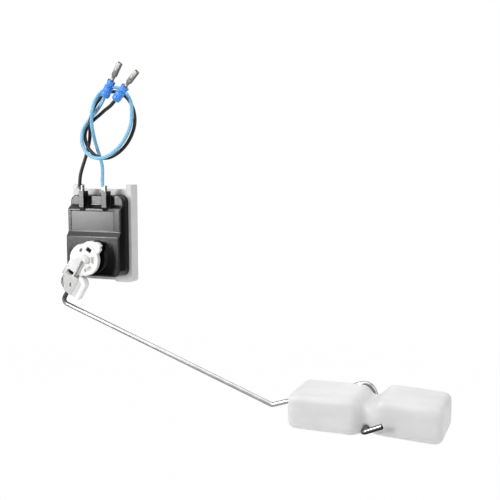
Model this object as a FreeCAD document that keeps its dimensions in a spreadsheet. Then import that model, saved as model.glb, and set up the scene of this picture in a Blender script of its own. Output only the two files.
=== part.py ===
import FreeCAD, Part
import math
import os
import re
from collections import namedtuple

import Sketcher
from FreeCAD import Placement, Rotation, Vector

# Fuel level sender: a float on a bent wire arm turns a hub in front of a sealed sensor housing.
# Frame: the pivot axis is the Y axis, the origin is where it meets the mounting face,
# +X is to the right seen from the front, +Z is up, and the front faces -Y.
# A depth is a distance in front of the mounting face, so it is minus Y.

doc = FreeCAD.newDocument("fuel_level_sender")
sheet = doc.addObject("Spreadsheet::Sheet", "Sizes")

SIZES = [
    # Sensor housing, a moulded shell that is open at the back
    ("housing_width", 28.4, "outside width"),
    ("pivot_from_left", 12.1, "pivot axis to the left side"),
    ("pivot_from_bottom", 8.05, "pivot axis to the bottom side"),
    ("pivot_to_top", 29.4, "pivot axis to the top side"),
    ("corner_radius", 3.0, "corners of the housing seen from the front"),
    ("edge_round", 0.65, "rounding of the steps on the front"),
    ("housing_wall", 1.3, "wall"),
    ("housing_seat", 4.8, "depth of the face that the housing sits on"),
    ("top_face", 10.5, "depth of the thin top step"),
    ("mid_face", 13.0, "depth of the middle step"),
    ("low_face", 14.7, "depth of the lowest step"),
    ("top_ramp_foot", 23.35, "height where the upper ramp leaves the middle step"),
    ("top_ramp_head", 25.0, "height where the upper ramp meets the top step"),
    ("low_ramp_foot", 10.33, "height where the lower ramp leaves the lowest step"),
    ("low_ramp_head", 12.6, "height where the lower ramp meets the middle step"),
    ("panel_inset_left", 1.8, "bare label panel to the left side"),
    ("panel_inset_right", 3.5, "bare label panel to the right side"),
    ("panel_inset_low", 0.5, "bare label panel to the lower ramp"),
    ("panel_inset_top", 1.1, "bare label panel to the upper ramp"),
    ("panel_sink", 0.12, "how deep the panel is sunk"),
    # Terminal towers on the housing
    ("tower_left_at", -3.9, "centre of the left tower"),
    ("tower_pitch", 12.2, "left tower to right tower"),
    ("tower_width", 2.7, "tower width"),
    ("tower_front", 14.1, "depth of a tower's front"),
    ("tower_back_lap", 0.5, "how far a tower reaches behind the top step"),
    ("tower_low", 23.8, "height of a tower's lower end"),
    ("tower_high", 31.5, "height of a tower's top"),
    ("tower_foot_drop", 1.3, "slanted foot below the tower"),
    # Pegs of the mounting plate and the posts that take them
    ("peg_radius", 1.2, "locating peg"),
    ("peg_fit", 0.02, "radial clearance of a peg"),
    ("peg_reach", 4.0, "peg length in front of the seat"),
    ("post_radius", 2.5, "post in the housing that takes a peg"),
    ("post_inset", 3.2, "post centre to the housing's sides"),
    ("post_reach", 4.0, "post length"),
    # Back cover of the housing
    ("cover_thick", 1.0, "cover"),
    ("cover_fit", 0.1, "gap round the cover"),
    # Pivot: the hub's spigot snaps into a blind bearing of the housing
    ("spigot_radius", 2.5, "spigot"),
    ("spigot_fit", 0.05, "radial running clearance"),
    ("spigot_end", 10.2, "depth of the spigot's inner end"),
    ("bearing_wall", 1.7, "wall of the bearing"),
    ("bearing_floor", 1.0, "closed end of the bearing"),
    ("bearing_gap", 0.4, "spigot's end to the bearing's floor"),
    ("lip_reach", 0.45, "snap lip beyond the spigot"),
    ("lip_back", 11.2, "depth of the snap lip's back"),
    ("lip_thick", 1.0, "snap lip"),
    ("lip_gap", 0.2, "room round the snap lip"),
    ("snap_slot", 1.0, "slot that lets the spigot's prongs close"),
    ("snap_slot_end", 13.6, "depth of the slot's end"),
    # Travel of the arm, held by a peg in a curved groove
    ("swing_range", 75.0, "travel of the arm in degrees"),
    ("stop_radius", 5.0, "stop peg's distance from the pivot"),
    ("stop_peg_radius", 1.2, "stop peg"),
    ("stop_gap", 0.3, "room round the stop peg"),
    ("groove_sink", 1.4, "how deep the groove is in the hub's back"),
    ("stop_peg_gap", 0.2, "stop peg's end to the groove's floor"),
    # Sensor stack against the inside of the lowest step
    ("card_gap", 0.45, "card to the housing's inner sides"),
    ("card_low", 6.0, "card below the pivot"),
    ("card_high", 9.2, "card above the pivot"),
    ("card_thick", 0.7, "ceramic card"),
    ("card_hole_gap", 0.2, "room round the bearing"),
    ("track_inner", 5.3, "inner radius of the resistor track"),
    ("track_outer", 6.6, "outer radius of the resistor track"),
    ("track_thick", 0.08, "printed track"),
    ("spacer_inner", 7.3, "inner radius of the spacer"),
    ("spacer_outer", 8.5, "outer radius of the spacer"),
    ("spacer_thick", 0.5, "spacer"),
    ("comb_thick", 0.12, "contact comb foil"),
    ("comb_tip", 5.4, "radius of the fingers' tips"),
    ("finger_sweep", 3.2, "width of a finger in degrees"),
    ("finger_pitch", 5.0, "finger to finger in degrees"),
    ("sense_start", 46.0, "first angle that the sensor reads"),
    ("sense_sweep", 98.0, "angle that the sensor reads"),
    ("lid_inner", 4.8, "inner radius of the lid"),
    ("lid_outer", 9.0, "outer radius of the lid"),
    ("lid_wall", 0.3, "lid sheet"),
    ("lid_height", 1.7, "lid"),
    ("lid_margin", 6.0, "lid past the sensor's ends in degrees"),
    # Terminals, stamped from strip
    ("strip_thick", 0.64, "terminal strip"),
    ("strip_width", 2.0, "terminal strip"),
    ("strip_fit", 0.04, "gap round a terminal in its tower"),
    ("tab_top", 34.0, "height of a terminal's top"),
    ("tab_back", 11.5, "depth of a tab's back edge"),
    ("blade_back", 9.6, "depth of the blade's back edge inside the housing"),
    ("blade_low", 14.0, "height of the blade's lower end"),
    ("flange_height", 3.0, "flange beside the blade"),
    ("flange_gap", 1.18, "flange to the housing's inner side"),
    ("foot_low", 1.2, "height of the soldered foot"),
    ("solder_thick", 0.25, "solder between foot and card"),
    ("solder_width", 1.5, "solder joint"),
    # Leads with their welded ends, seals and contacts
    ("lead_radius", 0.8, "insulated lead"),
    ("lead_end", 33.5, "height of the cut insulation"),
    ("lead_from_tab", 0.98, "lead's axis to the tab"),
    ("lead_front", 12.9, "depth of the lead's axis at the tab"),
    ("core_half", 0.45, "half the flattened conductor"),
    ("core_length", 1.5, "bare conductor on the tab"),
    ("seal_radius", 2.1, "seal body"),
    ("seal_length", 5.6, "seal body"),
    ("seal_neck_radius", 1.4, "groove of the seal"),
    ("seal_neck_length", 0.6, "groove of the seal"),
    ("seal_ring_radius", 1.75, "ring at the seal's front"),
    ("seal_ring_length", 2.0, "ring at the seal's front"),
    ("seal_round", 0.25, "rounding of the seal"),
    ("crimp_width", 1.5, "crimped neck of the contact"),
    ("crimp_length", 2.7, "crimped neck of the contact"),
    ("socket_width", 2.1, "socket of the contact"),
    ("socket_length", 6.6, "socket of the contact"),
    ("socket_wall", 0.3, "socket sheet"),
    ("socket_bottom", 1.2, "closed end of the socket"),
    # Hub, drawn with its lever straight down
    ("hub_gap", 1.8, "housing to the hub's back"),
    ("disc_radius", 7.4, "disc"),
    ("disc_thick", 2.4, "disc"),
    ("web_thick", 1.8, "web of the lever"),
    ("lever_angle", 31.4, "lever from straight down towards the left in degrees"),
    ("lever_end", 17.5, "lever's end below the pivot"),
    ("bulge_x", 1.7, "middle of the left bulge, left of the wire"),
    ("bulge_drop", 13.3, "middle of the left bulge, below the pivot"),
    ("bulge_radius", 4.85, "left bulge of the web"),
    ("rim_thick", 0.9, "rim of the left bulge"),
    ("rim_front", 19.4, "depth of the left rim's front"),
    ("web_right", 7.3, "web to the right of the wire"),
    ("wing_left", 2.7, "right wing's upper arm starts right of the wire"),
    ("wing_thick", 2.0, "right wing"),
    ("wing_top", 7.4, "right wing's top below the pivot"),
    ("wing_front", 20.0, "depth of the right wing's front"),
    ("wing_round", 3.4, "shoulder of the right wing"),
    ("hood_left", 5.2, "hood's foot to the left of the wire"),
    ("hood_right", 0.1, "hood past the wire's middle"),
    ("hood_low", 7.0, "hood's foot below the pivot"),
    ("hood_top", 2.5, "hood above the pivot"),
    ("hood_front", 21.0, "depth of the hood's front"),
    ("hood_round", 0.9, "rounding of the hood's front"),
    ("arch_left", 1.3, "arch over the axle, left of the pivot"),
    ("arch_right", 2.7, "arch over the axle, right of the pivot"),
    ("arch_low", 0.4, "arch's right end below the pivot"),
    ("arch_round", 1.8, "rounding of the arch"),
    ("clip_left", 6.0, "clip block's top to the left of the wire"),
    ("clip_waist", 4.2, "clip block below its top, left of the wire"),
    ("clip_right", 3.0, "clip block to the right of the wire"),
    ("clip_top", 9.0, "clip block's right half below the pivot"),
    ("clip_step", 11.2, "clip block's waist below the pivot"),
    ("clip_front", 20.6, "depth of the clip block's front"),
    ("flank_front", 19.2, "depth of the clip block's flank at the wing"),
    ("mouth_left", 4.3, "mouth under the hood, left of the wire"),
    ("mouth_right", 0.4, "mouth's end left of the wire"),
    ("mouth_height", 2.4, "mouth under the hood"),
    ("mouth_lip", 0.1, "mouth below the hood's foot"),
    ("mouth_round", 1.0, "rounding of the mouth"),
    ("mouth_roof", 1.0, "wall that the mouth is cut in"),
    ("dimple_radius", 1.0, "dimple in the clip block"),
    ("dimple_sink", 0.9, "dimple in the clip block"),
    ("dimple_x", 0.9, "dimple to the right of the wire"),
    ("dimple_drop", 13.1, "dimple below the pivot"),
    ("lug_peak", 10.7, "tip of the lug above the pivot"),
    ("lug_half", 4.6, "half of the lug"),
    ("lug_front", 18.5, "depth of the lug's front"),
    ("hold_gap", 0.2, "lips behind the wire"),
    ("hold_thick", 0.7, "lips that hold the wire"),
    ("hold_reach", 0.48, "lips that hold the wire"),
    ("hold_top", 11.5, "lips below the pivot"),
    ("hold_length", 2.0, "lips along the wire"),
    ("window_x", 3.48, "small window to the left of the pivot"),
    ("window_z", 3.13, "small window above the pivot"),
    ("window_width", 1.1, "small window"),
    ("window_height", 1.9, "small window"),
    ("recess_inner", 4.2, "inner radius of the shallow recesses in the disc"),
    ("recess_outer", 5.75, "outer radius of the shallow recesses"),
    ("recess_sink", 0.5, "shallow recesses in the disc"),
    ("upper_recess_start", 13.0, "upper recess from level in degrees"),
    ("upper_recess_sweep", 37.0, "upper recess in degrees"),
    ("lower_recess_start", -55.0, "lower recess from level in degrees"),
    ("lower_recess_sweep", 48.0, "lower recess in degrees"),
    # Magnet in the hub
    ("magnet_width", 3.2, "magnet"),
    ("magnet_height", 2.4, "magnet"),
    ("magnet_thick", 1.7, "magnet"),
    ("magnet_at", 5.4, "magnet's middle above the pivot"),
    ("magnet_fit", 0.05, "gap round the magnet"),
    ("magnet_lap", 0.25, "lip of the hub in front of the magnet"),
    # Wire arm
    ("wire_radius", 1.0, "arm wire"),
    ("wire_fit", 0.03, "gap between wire and hub"),
    ("wire_sink", 0.5, "wire's axis behind the disc's front"),
    ("axle_end", 11.0, "depth of the wire's inner end"),
    ("lever_length", 23.7, "pivot to the arm's first bend"),
    ("arm_length", 111.4, "first bend to second bend"),
    ("arm_droop", 19.93, "arm below level in degrees"),
    ("rise_length", 44.73, "second bend to the peak"),
    ("rise_angle", 18.64, "rising end above level in degrees"),
    ("drop_length", 11.44, "peak to the float's pin"),
    ("drop_angle", 66.0, "drop below level in degrees"),
    ("hook_length", 8.0, "hook in front of the float"),
    ("hook_angle", 24.0, "hook from level in degrees"),
    ("axle_bend", 2.5, "bend at the pivot"),
    ("arm_bend", 2.2, "bends of the arm"),
    ("loop_bend", 4.0, "bend at the peak over the float"),
    ("hook_bend", 2.0, "bends at the float's pin"),
    # Float, one foamed block with a narrow waist
    ("float_length", 59.25, "float"),
    ("float_depth", 26.2, "float, front to back"),
    ("float_height", 14.3, "float"),
    ("float_shift", -1.2, "float's middle from its pin"),
    ("float_gap", 2.1, "wire to the float's back"),
    ("hook_gap", 2.6, "float's front to the hook"),
    ("pin_height", 3.6, "pin above the float's bottom"),
    ("pin_fit", 0.1, "radial clearance of the pin"),
    ("notch_half", 5.2, "half of the waist's notches"),
    ("top_notch_sink", 4.0, "notch on top"),
    ("side_notch_sink", 3.0, "notches in front and behind"),
    ("low_notch_sink", 1.0, "notch underneath"),
    ("bow_lift", 1.4, "right half of the float raised at the pin"),
    ("bow_fall", 2.35, "right half of the float falls to its end in degrees"),
    ("float_round", 3.0, "rounding of the float"),
    # Mounting plate, a ribbed tray that slides into its holder by two rails
    ("rim_side", 1.6, "plate beyond the housing's sides"),
    ("rim_top_reach", 2.9, "plate beyond the housing's top"),
    ("rim_low_reach", 2.4, "plate beyond the housing's bottom"),
    ("rim_height", 1.26, "rim round the housing in front of its seat"),
    ("rim_gap", 0.15, "gap between rim and housing"),
    ("plate_floor", 2.0, "floor of the plate"),
    ("plate_wall", 1.5, "walls and ribs of the plate"),
    ("plate_round", 1.5, "corners of the plate"),
    ("rail_width", 2.6, "rail"),
    ("rail_rise", 2.1, "rail above the plate"),
    ("foot_width", 9.0, "foot under the right half"),
    ("foot_drop", 0.8, "foot under the right half"),
    ("pad_radius", 3.0, "round pad on the back at the pivot axis"),
]
for row, (alias, value, note) in enumerate(SIZES, 1):
    sheet.set(f"A{row}", note)
    sheet.set(f"B{row}", str(value))
    sheet.setAlias(f"B{row}", alias)
doc.recompute()

Circle = namedtuple("Circle", "x z radius")
FORWARD = Rotation(Vector(1, 0, 0), 90)
FRONT_TO_BACK = Vector(0, 1, 0)
NEAR = 0.01
PARALLEL = 0.999


def size(alias):
    """A driving dimension, read from the sheet."""
    return float(sheet.get(alias))


def cell(text):
    """An expression in which every name is a cell of the sheet."""
    return re.sub(r"[a-z]+(?:_[a-z]+)+", r"Sizes.\g<0>", text)


def value_of(text):
    """The number that an expression on the sheet gives."""
    return float(sheet.evalExpression(cell(text)))


def bind(thing, expressions):
    """Tie properties of an object to the sheet."""
    for name, text in expressions.items():
        thing.setExpression(name, cell(text))


def span(low, high):
    """The distance between two expressions."""
    return f"({high}) - ({low})"


# Places that several pieces share, as expressions on the sheet
HOUSING_LEFT = "-pivot_from_left"
HOUSING_RIGHT = "housing_width - pivot_from_left"
HOUSING_LOW = "-pivot_from_bottom"
HOUSING_HIGH = "pivot_to_top"
INSIDE_LEFT = "housing_wall - pivot_from_left"
INSIDE_RIGHT = "housing_width - pivot_from_left - housing_wall"
INSIDE_FRONT = "low_face - housing_wall"
CARD_BACK = "low_face - housing_wall - card_thick"
DISC_BACK = "low_face + hub_gap"
DISC_FRONT = "low_face + hub_gap + disc_thick"
WIRE_DEPTH = "low_face + hub_gap + disc_thick - wire_sink"
FLOAT_BACK = f"{WIRE_DEPTH} + wire_radius + float_gap"
FLOAT_FRONT = f"{FLOAT_BACK} + float_depth"
COVER_FRONT = "housing_seat + cover_thick"
BEARING_BACK = "spigot_end - bearing_gap - bearing_floor"
BEARING_RADIUS = "spigot_radius + spigot_fit + bearing_wall"
TOWERS = {"left": "tower_left_at", "right": "tower_left_at + tower_pitch"}
HUB_TURN = Placement(Vector(), Rotation(Vector(0, 1, 0), size("lever_angle")))


# Drawing and solid helpers

def place_point(drawing, item, point, x, z):
    """Fix a point of a sketch at two expressions from the sketch's origin."""
    for kind, text in (("DistanceX", x), ("DistanceY", z)):
        index = drawing.addConstraint(Sketcher.Constraint(kind, -1, 1, item, point, 1.0))
        drawing.setExpression(f"Constraints[{index}]", cell(text))


def draw_circle(drawing, circle):
    item = drawing.addGeometry(Part.Circle(Vector(1, 1, 0), Vector(0, 0, 1), 1.0), False)
    place_point(drawing, item, 3, circle.x, circle.z)
    index = drawing.addConstraint(Sketcher.Constraint("Radius", item, 1.0))
    drawing.setExpression(f"Constraints[{index}]", cell(circle.radius))


def draw_polygon(drawing, corners):
    count = len(corners)
    turn = 2 * math.pi / count
    start = [Vector(math.cos(turn * i), math.sin(turn * i), 0) for i in range(count)]
    items = [drawing.addGeometry(Part.LineSegment(start[i], start[(i + 1) % count]), False)
             for i in range(count)]
    for i, item in enumerate(items):
        drawing.addConstraint(Sketcher.Constraint("Coincident", item, 2, items[(i + 1) % count], 1))
    for item, (x, z) in zip(items, corners):
        place_point(drawing, item, 1, x, z)


def sketch(body, name, plane, offset, outlines):
    """A sketch on one of the body's planes, moved out along the plane's normal."""
    drawing = body.newObject("Sketcher::SketchObject", name)
    support = next(item for item in body.Origin.OriginFeatures if item.Role == plane)
    drawing.AttachmentSupport = (support, [""])
    drawing.MapMode = "FlatFace"
    drawing.setExpression("AttachmentOffset.Base.z", cell(offset))
    for outline in outlines:
        if isinstance(outline, Circle):
            draw_circle(drawing, outline)
        else:
            draw_polygon(drawing, outline)
    return drawing


def extrude(kind, body, name, outlines, start, end, plane):
    feature_sketch = sketch(body, f"{name}_outline", plane, start, outlines)
    feature = body.newObject(kind, name)
    feature.Profile = feature_sketch
    feature.setExpression("Length", cell(span(start, end)))
    return feature


def pad(body, name, outlines, start, end, plane="XZ_Plane"):
    """Add material between two depths, or two places along another plane's normal."""
    return extrude("PartDesign::Pad", body, name, outlines, start, end, plane)


def pocket(body, name, outlines, start, end, plane="XZ_Plane"):
    """Take material away between two depths, or two places along another plane's normal."""
    feature = extrude("PartDesign::Pocket", body, name, outlines, start, end, plane)
    feature.Reversed = True
    return feature


def round_edges(body, name, radius, chosen):
    """Round those edges of the body that a test picks."""
    doc.recompute()
    base = body.Tip
    edges = [f"Edge{i}" for i, edge in enumerate(base.Shape.Edges, 1) if chosen(edge)]
    feature = body.newObject("PartDesign::Fillet", name)
    feature.Base = (base, edges)
    feature.setExpression("Radius", cell(radius))
    doc.recompute()
    return feature


def runs_along(edge, axis):
    """True for a straight edge that is parallel to an axis."""
    if edge.Curve.TypeId != "Part::GeomLine":
        return False
    return abs(edge.tangentAt(edge.FirstParameter).dot(axis)) > PARALLEL


def at_corners(*corners):
    """A test for the edges that run front to back through given corners of an outline."""
    places = [(value_of(x), value_of(z)) for x, z in corners]

    def chosen(edge):
        middle = edge.CenterOfMass
        return runs_along(edge, FRONT_TO_BACK) and any(
            math.hypot(middle.x - x, middle.z - z) < NEAR for x, z in places)
    return chosen


def box_outline(left, right, low, high):
    return [(left, low), (right, low), (right, high), (left, high)]


def new_body(name):
    return doc.addObject("PartDesign::Body", name)


def block(name, x, depth, z):
    """A box between pairs of expressions."""
    solid = doc.addObject("Part::Box", name)
    bind(solid, {"Length": span(*x), "Width": span(*depth), "Height": span(*z), "Placement.Base.x": x[0],
                 "Placement.Base.y": f"-({depth[1]})", "Placement.Base.z": z[0]})
    return solid


def pie(name, radius, start, sweep, depth):
    """A sector of a disc round the pivot axis, from an angle above +X, counted towards +Z."""
    solid = doc.addObject("Part::Cylinder", name)
    bind(solid, {"Radius": radius, "Height": span(*depth), "Angle": sweep})
    solid.Placement = Placement(Vector(), Rotation(Vector(0, -1, 0), start) * FORWARD)
    solid.setExpression("Placement.Base.y", cell(f"-({depth[0]})"))
    return solid


def cut(name, base, tool):
    result = doc.addObject("Part::Cut", name)
    result.Base = base
    result.Tool = tool
    return result


def fuse(name, solids):
    result = doc.addObject("Part::MultiFuse", name)
    result.Shapes = solids
    return result


def ring_sector(name, inner, outer, start, sweep, depth):
    whole = pie(f"{name}_outer", outer, start, sweep, depth)
    core = pie(f"{name}_core", inner, 0, "360", depth)
    return cut(name, whole, core)


def rounded_path(points, radius_at):
    """Straight runs joined by tangent arcs, with the radii."""
    edges = []
    radii = []
    start = points[0]
    for i in range(1, len(points) - 1):
        before = points[i - 1] - points[i]
        after = points[i + 1] - points[i]
        turn = math.pi - before.getAngle(after)
        radius = radius_at(i, min(before.Length, after.Length), turn)
        reach = radius * math.tan(turn / 2)
        before.normalize()
        after.normalize()
        middle = (before + after).normalize()
        arc_start = points[i] + before * reach
        arc_end = points[i] + after * reach
        arc_middle = points[i] + middle * (radius / math.cos(turn / 2) - radius)
        edges.append(Part.LineSegment(start, arc_start).toShape())
        edges.append(Part.Arc(arc_start, arc_middle, arc_end).toShape())
        radii.append(radius)
        start = arc_end
    edges.append(Part.LineSegment(start, points[-1]).toShape())
    return Part.Wire(edges), radii


def round_bar(name, points, radius, radius_at):
    """A round bar along a path, whose volume is checked against its section times its length."""
    path, radii = rounded_path(points, radius_at)
    section = Part.Wire(Part.Circle(points[0], points[1] - points[0], radius).toShape())
    solid = path.makePipeShell([section], True, True)
    expected = math.pi * radius ** 2 * path.Length
    if abs(solid.Volume / expected - 1) > NEAR:
        raise ValueError(f"{name}: volume {solid.Volume:.2f}, expected {expected:.2f}")
    bar = doc.addObject("Part::Feature", name)
    bar.Shape = solid
    print(f"{name}: length {path.Length:.1f}, radii", [round(r, 1) for r in radii])
    return bar


# Sensor housing

def ramp_inset(foot_depth, head_depth, foot, head):
    """How far a ramp's ends move down when its wall is set in by the housing's wall."""
    return f"housing_wall * tan(atan(({foot_depth} - {head_depth}) / ({head} - {foot})) / 2)"


LOW_INSET = ramp_inset("low_face", "mid_face", "low_ramp_foot", "low_ramp_head")
TOP_INSET = ramp_inset("mid_face", "top_face", "top_ramp_foot", "top_ramp_head")


def step_profile(inset, low_inset, top_inset, back):
    """The housing's side view: back, lowest step, lower ramp, middle step, upper ramp, top step."""
    return [(f"-({back})", f"{HOUSING_LOW} + {inset}"),
            (f"-(low_face - {inset})", f"{HOUSING_LOW} + {inset}"),
            (f"-(low_face - {inset})", f"low_ramp_foot - {low_inset}"),
            (f"-(mid_face - {inset})", f"low_ramp_head - {low_inset}"),
            (f"-(mid_face - {inset})", f"top_ramp_foot - {top_inset}"),
            (f"-(top_face - {inset})", f"top_ramp_head - {top_inset}"),
            (f"-(top_face - {inset})", f"{HOUSING_HIGH} - {inset}"),
            (f"-({back})", f"{HOUSING_HIGH} - {inset}")]


def post_places():
    sides = (f"{HOUSING_LEFT} + post_inset", f"{HOUSING_RIGHT} - post_inset")
    levels = (f"{HOUSING_LOW} + post_inset", f"{HOUSING_HIGH} - post_inset")
    return [(x, z) for x in sides for z in levels]


def blade_outline(gap):
    """Side view of a terminal's blade, from inside the housing up through its tower."""
    inner_back = f"blade_back - {gap}"
    inner_front = f"blade_back + strip_width + {gap}"
    outer_back = f"tab_back - {gap}"
    outer_front = f"tab_back + strip_width + {gap}"
    jog = "tab_back - blade_back"
    low_jog = f"top_ramp_foot - {TOP_INSET} - strip_fit"
    return [(f"-({inner_back})", "blade_low"),
            (f"-({inner_front})", "blade_low"),
            (f"-({inner_front})", low_jog),
            (f"-({outer_front})", f"{low_jog} + {jog}"),
            (f"-({outer_front})", "tab_top"),
            (f"-({outer_back})", "tab_top"),
            (f"-({outer_back})", f"{low_jog} + {jog}"),
            (f"-({inner_back})", low_jog)]


def blade(name, tower, gap):
    body = new_body(name)
    middle = TOWERS[tower]
    pad(body, f"{name}_strip", [blade_outline(gap)], f"{middle} - strip_thick / 2 - {gap}",
        f"{middle} + strip_thick / 2 + {gap}", "YZ_Plane")
    return body


def sensor_housing():
    body = new_body("housing_shell")
    pad(body, "steps", [step_profile("0", "0", "0", "housing_seat")], HOUSING_LEFT, HOUSING_RIGHT, "YZ_Plane")
    round_edges(body, "corners", "corner_radius", lambda edge: runs_along(edge, FRONT_TO_BACK))
    in_front = -value_of("(housing_seat + top_face) / 2")
    round_edges(body, "step_edges", "edge_round", lambda edge: edge.BoundBox.YMax < in_front)
    pocket(body, "cavity", [step_profile("housing_wall", LOW_INSET, TOP_INSET, "housing_seat")],
           INSIDE_LEFT, INSIDE_RIGHT, "YZ_Plane")
    pocket(body, "label_panel",
           [box_outline(f"{HOUSING_LEFT} + panel_inset_left", f"{HOUSING_RIGHT} - panel_inset_right",
                        "low_ramp_head + panel_inset_low", "top_ramp_foot - panel_inset_top")],
           "mid_face - panel_sink", "mid_face")
    for x, z in post_places():
        number = len(body.Group)
        pad(body, f"post_{number}", [Circle(x, z, "post_radius")], COVER_FRONT, f"{COVER_FRONT} + post_reach")
        pocket(body, f"post_hole_{number}", [Circle(x, z, "peg_radius + peg_fit")], COVER_FRONT,
               "housing_seat + peg_reach + peg_fit")
    pad(body, "bearing", [Circle("0", "0", BEARING_RADIUS)],
        BEARING_BACK, f"{INSIDE_FRONT} + housing_wall / 2")
    pocket(body, "bearing_bore", [Circle("0", "0", "spigot_radius + spigot_fit")], "spigot_end - bearing_gap",
           "low_face")
    pocket(body, "lip_groove", [Circle("0", "0", "spigot_radius + lip_reach + lip_gap")],
           "lip_back - lip_gap", "lip_back + lip_thick + lip_gap")
    peg_turn = "(swing_range / 2 - lever_angle)"
    pad(body, "stop_peg", [Circle(f"stop_radius * cos({peg_turn})", f"stop_radius * sin({peg_turn})",
                                  "stop_peg_radius")],
        "low_face - housing_wall / 2", f"{DISC_BACK} + groove_sink - stop_peg_gap")
    for side, middle in TOWERS.items():
        half = "tower_width / 2"
        tower = box_outline(f"{middle} - {half}", f"{middle} + {half}", "tower_low", "tower_high")
        pad(body, f"{side}_tower", [tower], "top_face - tower_back_lap", "tower_front")
        root = "-(mid_face - housing_wall / 2)"
        foot_low = "tower_low - tower_foot_drop"
        foot = [(root, foot_low), ("-mid_face", foot_low), ("-tower_front", "tower_low"), (root, "tower_low")]
        pad(body, f"{side}_tower_foot", [foot], f"{middle} - {half}", f"{middle} + {half}", "YZ_Plane")
    slots = fuse("terminal_slots", [blade(f"{side}_slot", side, "strip_fit") for side in TOWERS])
    return cut("sensor_housing", body, slots)


def housing_back_cover():
    body = new_body("housing_back_cover")
    gap = "housing_wall + cover_fit"
    outline = box_outline(f"{HOUSING_LEFT} + {gap}", f"{HOUSING_RIGHT} - ({gap})", f"{HOUSING_LOW} + {gap}",
                          f"{HOUSING_HIGH} - ({gap})")
    pad(body, "cover_sheet", [outline], "housing_seat", COVER_FRONT)
    for number, (x, z) in enumerate(post_places()):
        pocket(body, f"cover_hole_{number}", [Circle(x, z, "peg_radius + cover_fit")],
               "housing_seat", COVER_FRONT)
    return body


# Mounting plate

def plate_cells():
    """Hollows of the plate's back, three across and four up, with ribs between them."""
    left, right = f"{HOUSING_LEFT} - rim_side", f"{HOUSING_RIGHT} + rim_side"
    low, high = f"{HOUSING_LOW} - rim_low_reach", f"{HOUSING_HIGH} + rim_top_reach"
    across, up = 3, 4
    wide = f"(({right}) - ({left}) - {across + 1} * plate_wall) / {across}"
    tall = f"(({high}) - ({low}) - {up + 1} * plate_wall) / {up}"
    cells = []
    for column in range(across):
        x = f"{left} + plate_wall + {column} * ({wide} + plate_wall)"
        for row in range(up):
            z = f"{low} + plate_wall + {row} * ({tall} + plate_wall)"
            cells.append(box_outline(x, f"{x} + {wide}", z, f"{z} + {tall}"))
    return cells


def mounting_plate():
    body = new_body("mounting_plate")
    left, right = f"{HOUSING_LEFT} - rim_side", f"{HOUSING_RIGHT} + rim_side"
    low, high = f"{HOUSING_LOW} - rim_low_reach", f"{HOUSING_HIGH} + rim_top_reach"
    front = "housing_seat + rim_height"
    rail_top = f"{high} + rail_rise"
    foot_low = f"{low} - foot_drop"
    outline = [(left, low), (f"{right} - foot_width", low), (f"{right} - foot_width + foot_drop", foot_low),
               (right, foot_low), (right, rail_top), (f"{right} - rail_width", rail_top),
               (f"{right} - rail_width", high), (f"{left} + rail_width", high),
               (f"{left} + rail_width", rail_top), (left, rail_top)]
    pad(body, "plate_block", [outline], "0", front)
    round_edges(body, "plate_corners", "plate_round", at_corners((left, low), (right, foot_low)))
    seat = box_outline(f"{HOUSING_LEFT} - rim_gap", f"{HOUSING_RIGHT} + rim_gap", f"{HOUSING_LOW} - rim_gap",
                       f"{HOUSING_HIGH} + rim_gap")
    pocket(body, "housing_recess", [seat], "housing_seat", front)
    round_edges(body, "recess_corners", "corner_radius + rim_gap", at_corners(*seat))
    for number, hollow in enumerate(plate_cells()):
        pocket(body, f"hollow_{number}", [hollow], "0", "housing_seat - plate_floor")
    pad(body, "pivot_pad", [Circle("0", "0", "pad_radius")], "0", "housing_seat - plate_floor")
    for number, (x, z) in enumerate(post_places()):
        pad(body, f"peg_{number}", [Circle(x, z, "peg_radius")], "housing_seat - plate_floor / 2",
            "housing_seat + peg_reach")
    return body


# Sensor stack

def resistor_card():
    body = new_body("resistor_card")
    sheet_outline = box_outline(f"{INSIDE_LEFT} + card_gap", f"{INSIDE_RIGHT} - card_gap",
                                "-card_low", "card_high")
    hole = Circle("0", "0", f"{BEARING_RADIUS} + card_hole_gap")
    pad(body, "card_sheet", [sheet_outline, hole], CARD_BACK, INSIDE_FRONT)
    return body


def resistor_track():
    return ring_sector("resistor_track", "track_inner", "track_outer", size("sense_start"), "sense_sweep",
                       (f"{CARD_BACK} - track_thick", CARD_BACK))


def spacer_strip():
    return ring_sector("spacer_strip", "spacer_inner", "spacer_outer", size("sense_start"), "sense_sweep",
                       (f"{CARD_BACK} - spacer_thick", CARD_BACK))


def contact_comb():
    """A foil with a root on the spacer and fingers that reach over the track."""
    depth = (f"{CARD_BACK} - spacer_thick - comb_thick", f"{CARD_BACK} - spacer_thick")
    root = ring_sector("comb_root", "spacer_inner", "spacer_outer", size("sense_start"), "sense_sweep", depth)
    fingers = []
    count = int(size("sense_sweep") // size("finger_pitch"))
    for number in range(count):
        start = size("sense_start") + (number + 0.5) * size("finger_pitch")
        fingers.append(ring_sector(f"finger_{number}", "comb_tip", "spacer_inner", start, "finger_sweep",
                                   depth))
    return fuse("contact_comb", [root] + fingers)


def sensor_lid():
    start = size("sense_start") - size("lid_margin")
    sweep = "sense_sweep + 2 * lid_margin"
    shell = ring_sector("lid_shell", "lid_inner", "lid_outer", start, sweep,
                        (f"{CARD_BACK} - lid_height", CARD_BACK))
    hollow = ring_sector("lid_hollow", "lid_inner + lid_wall", "lid_outer - lid_wall",
                         start + size("lid_margin") / 2, "sense_sweep + lid_margin",
                         (f"{CARD_BACK} - lid_height + lid_wall", CARD_BACK))
    return cut("sensor_lid", shell, hollow)


# Terminals and what joins the leads to them

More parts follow.
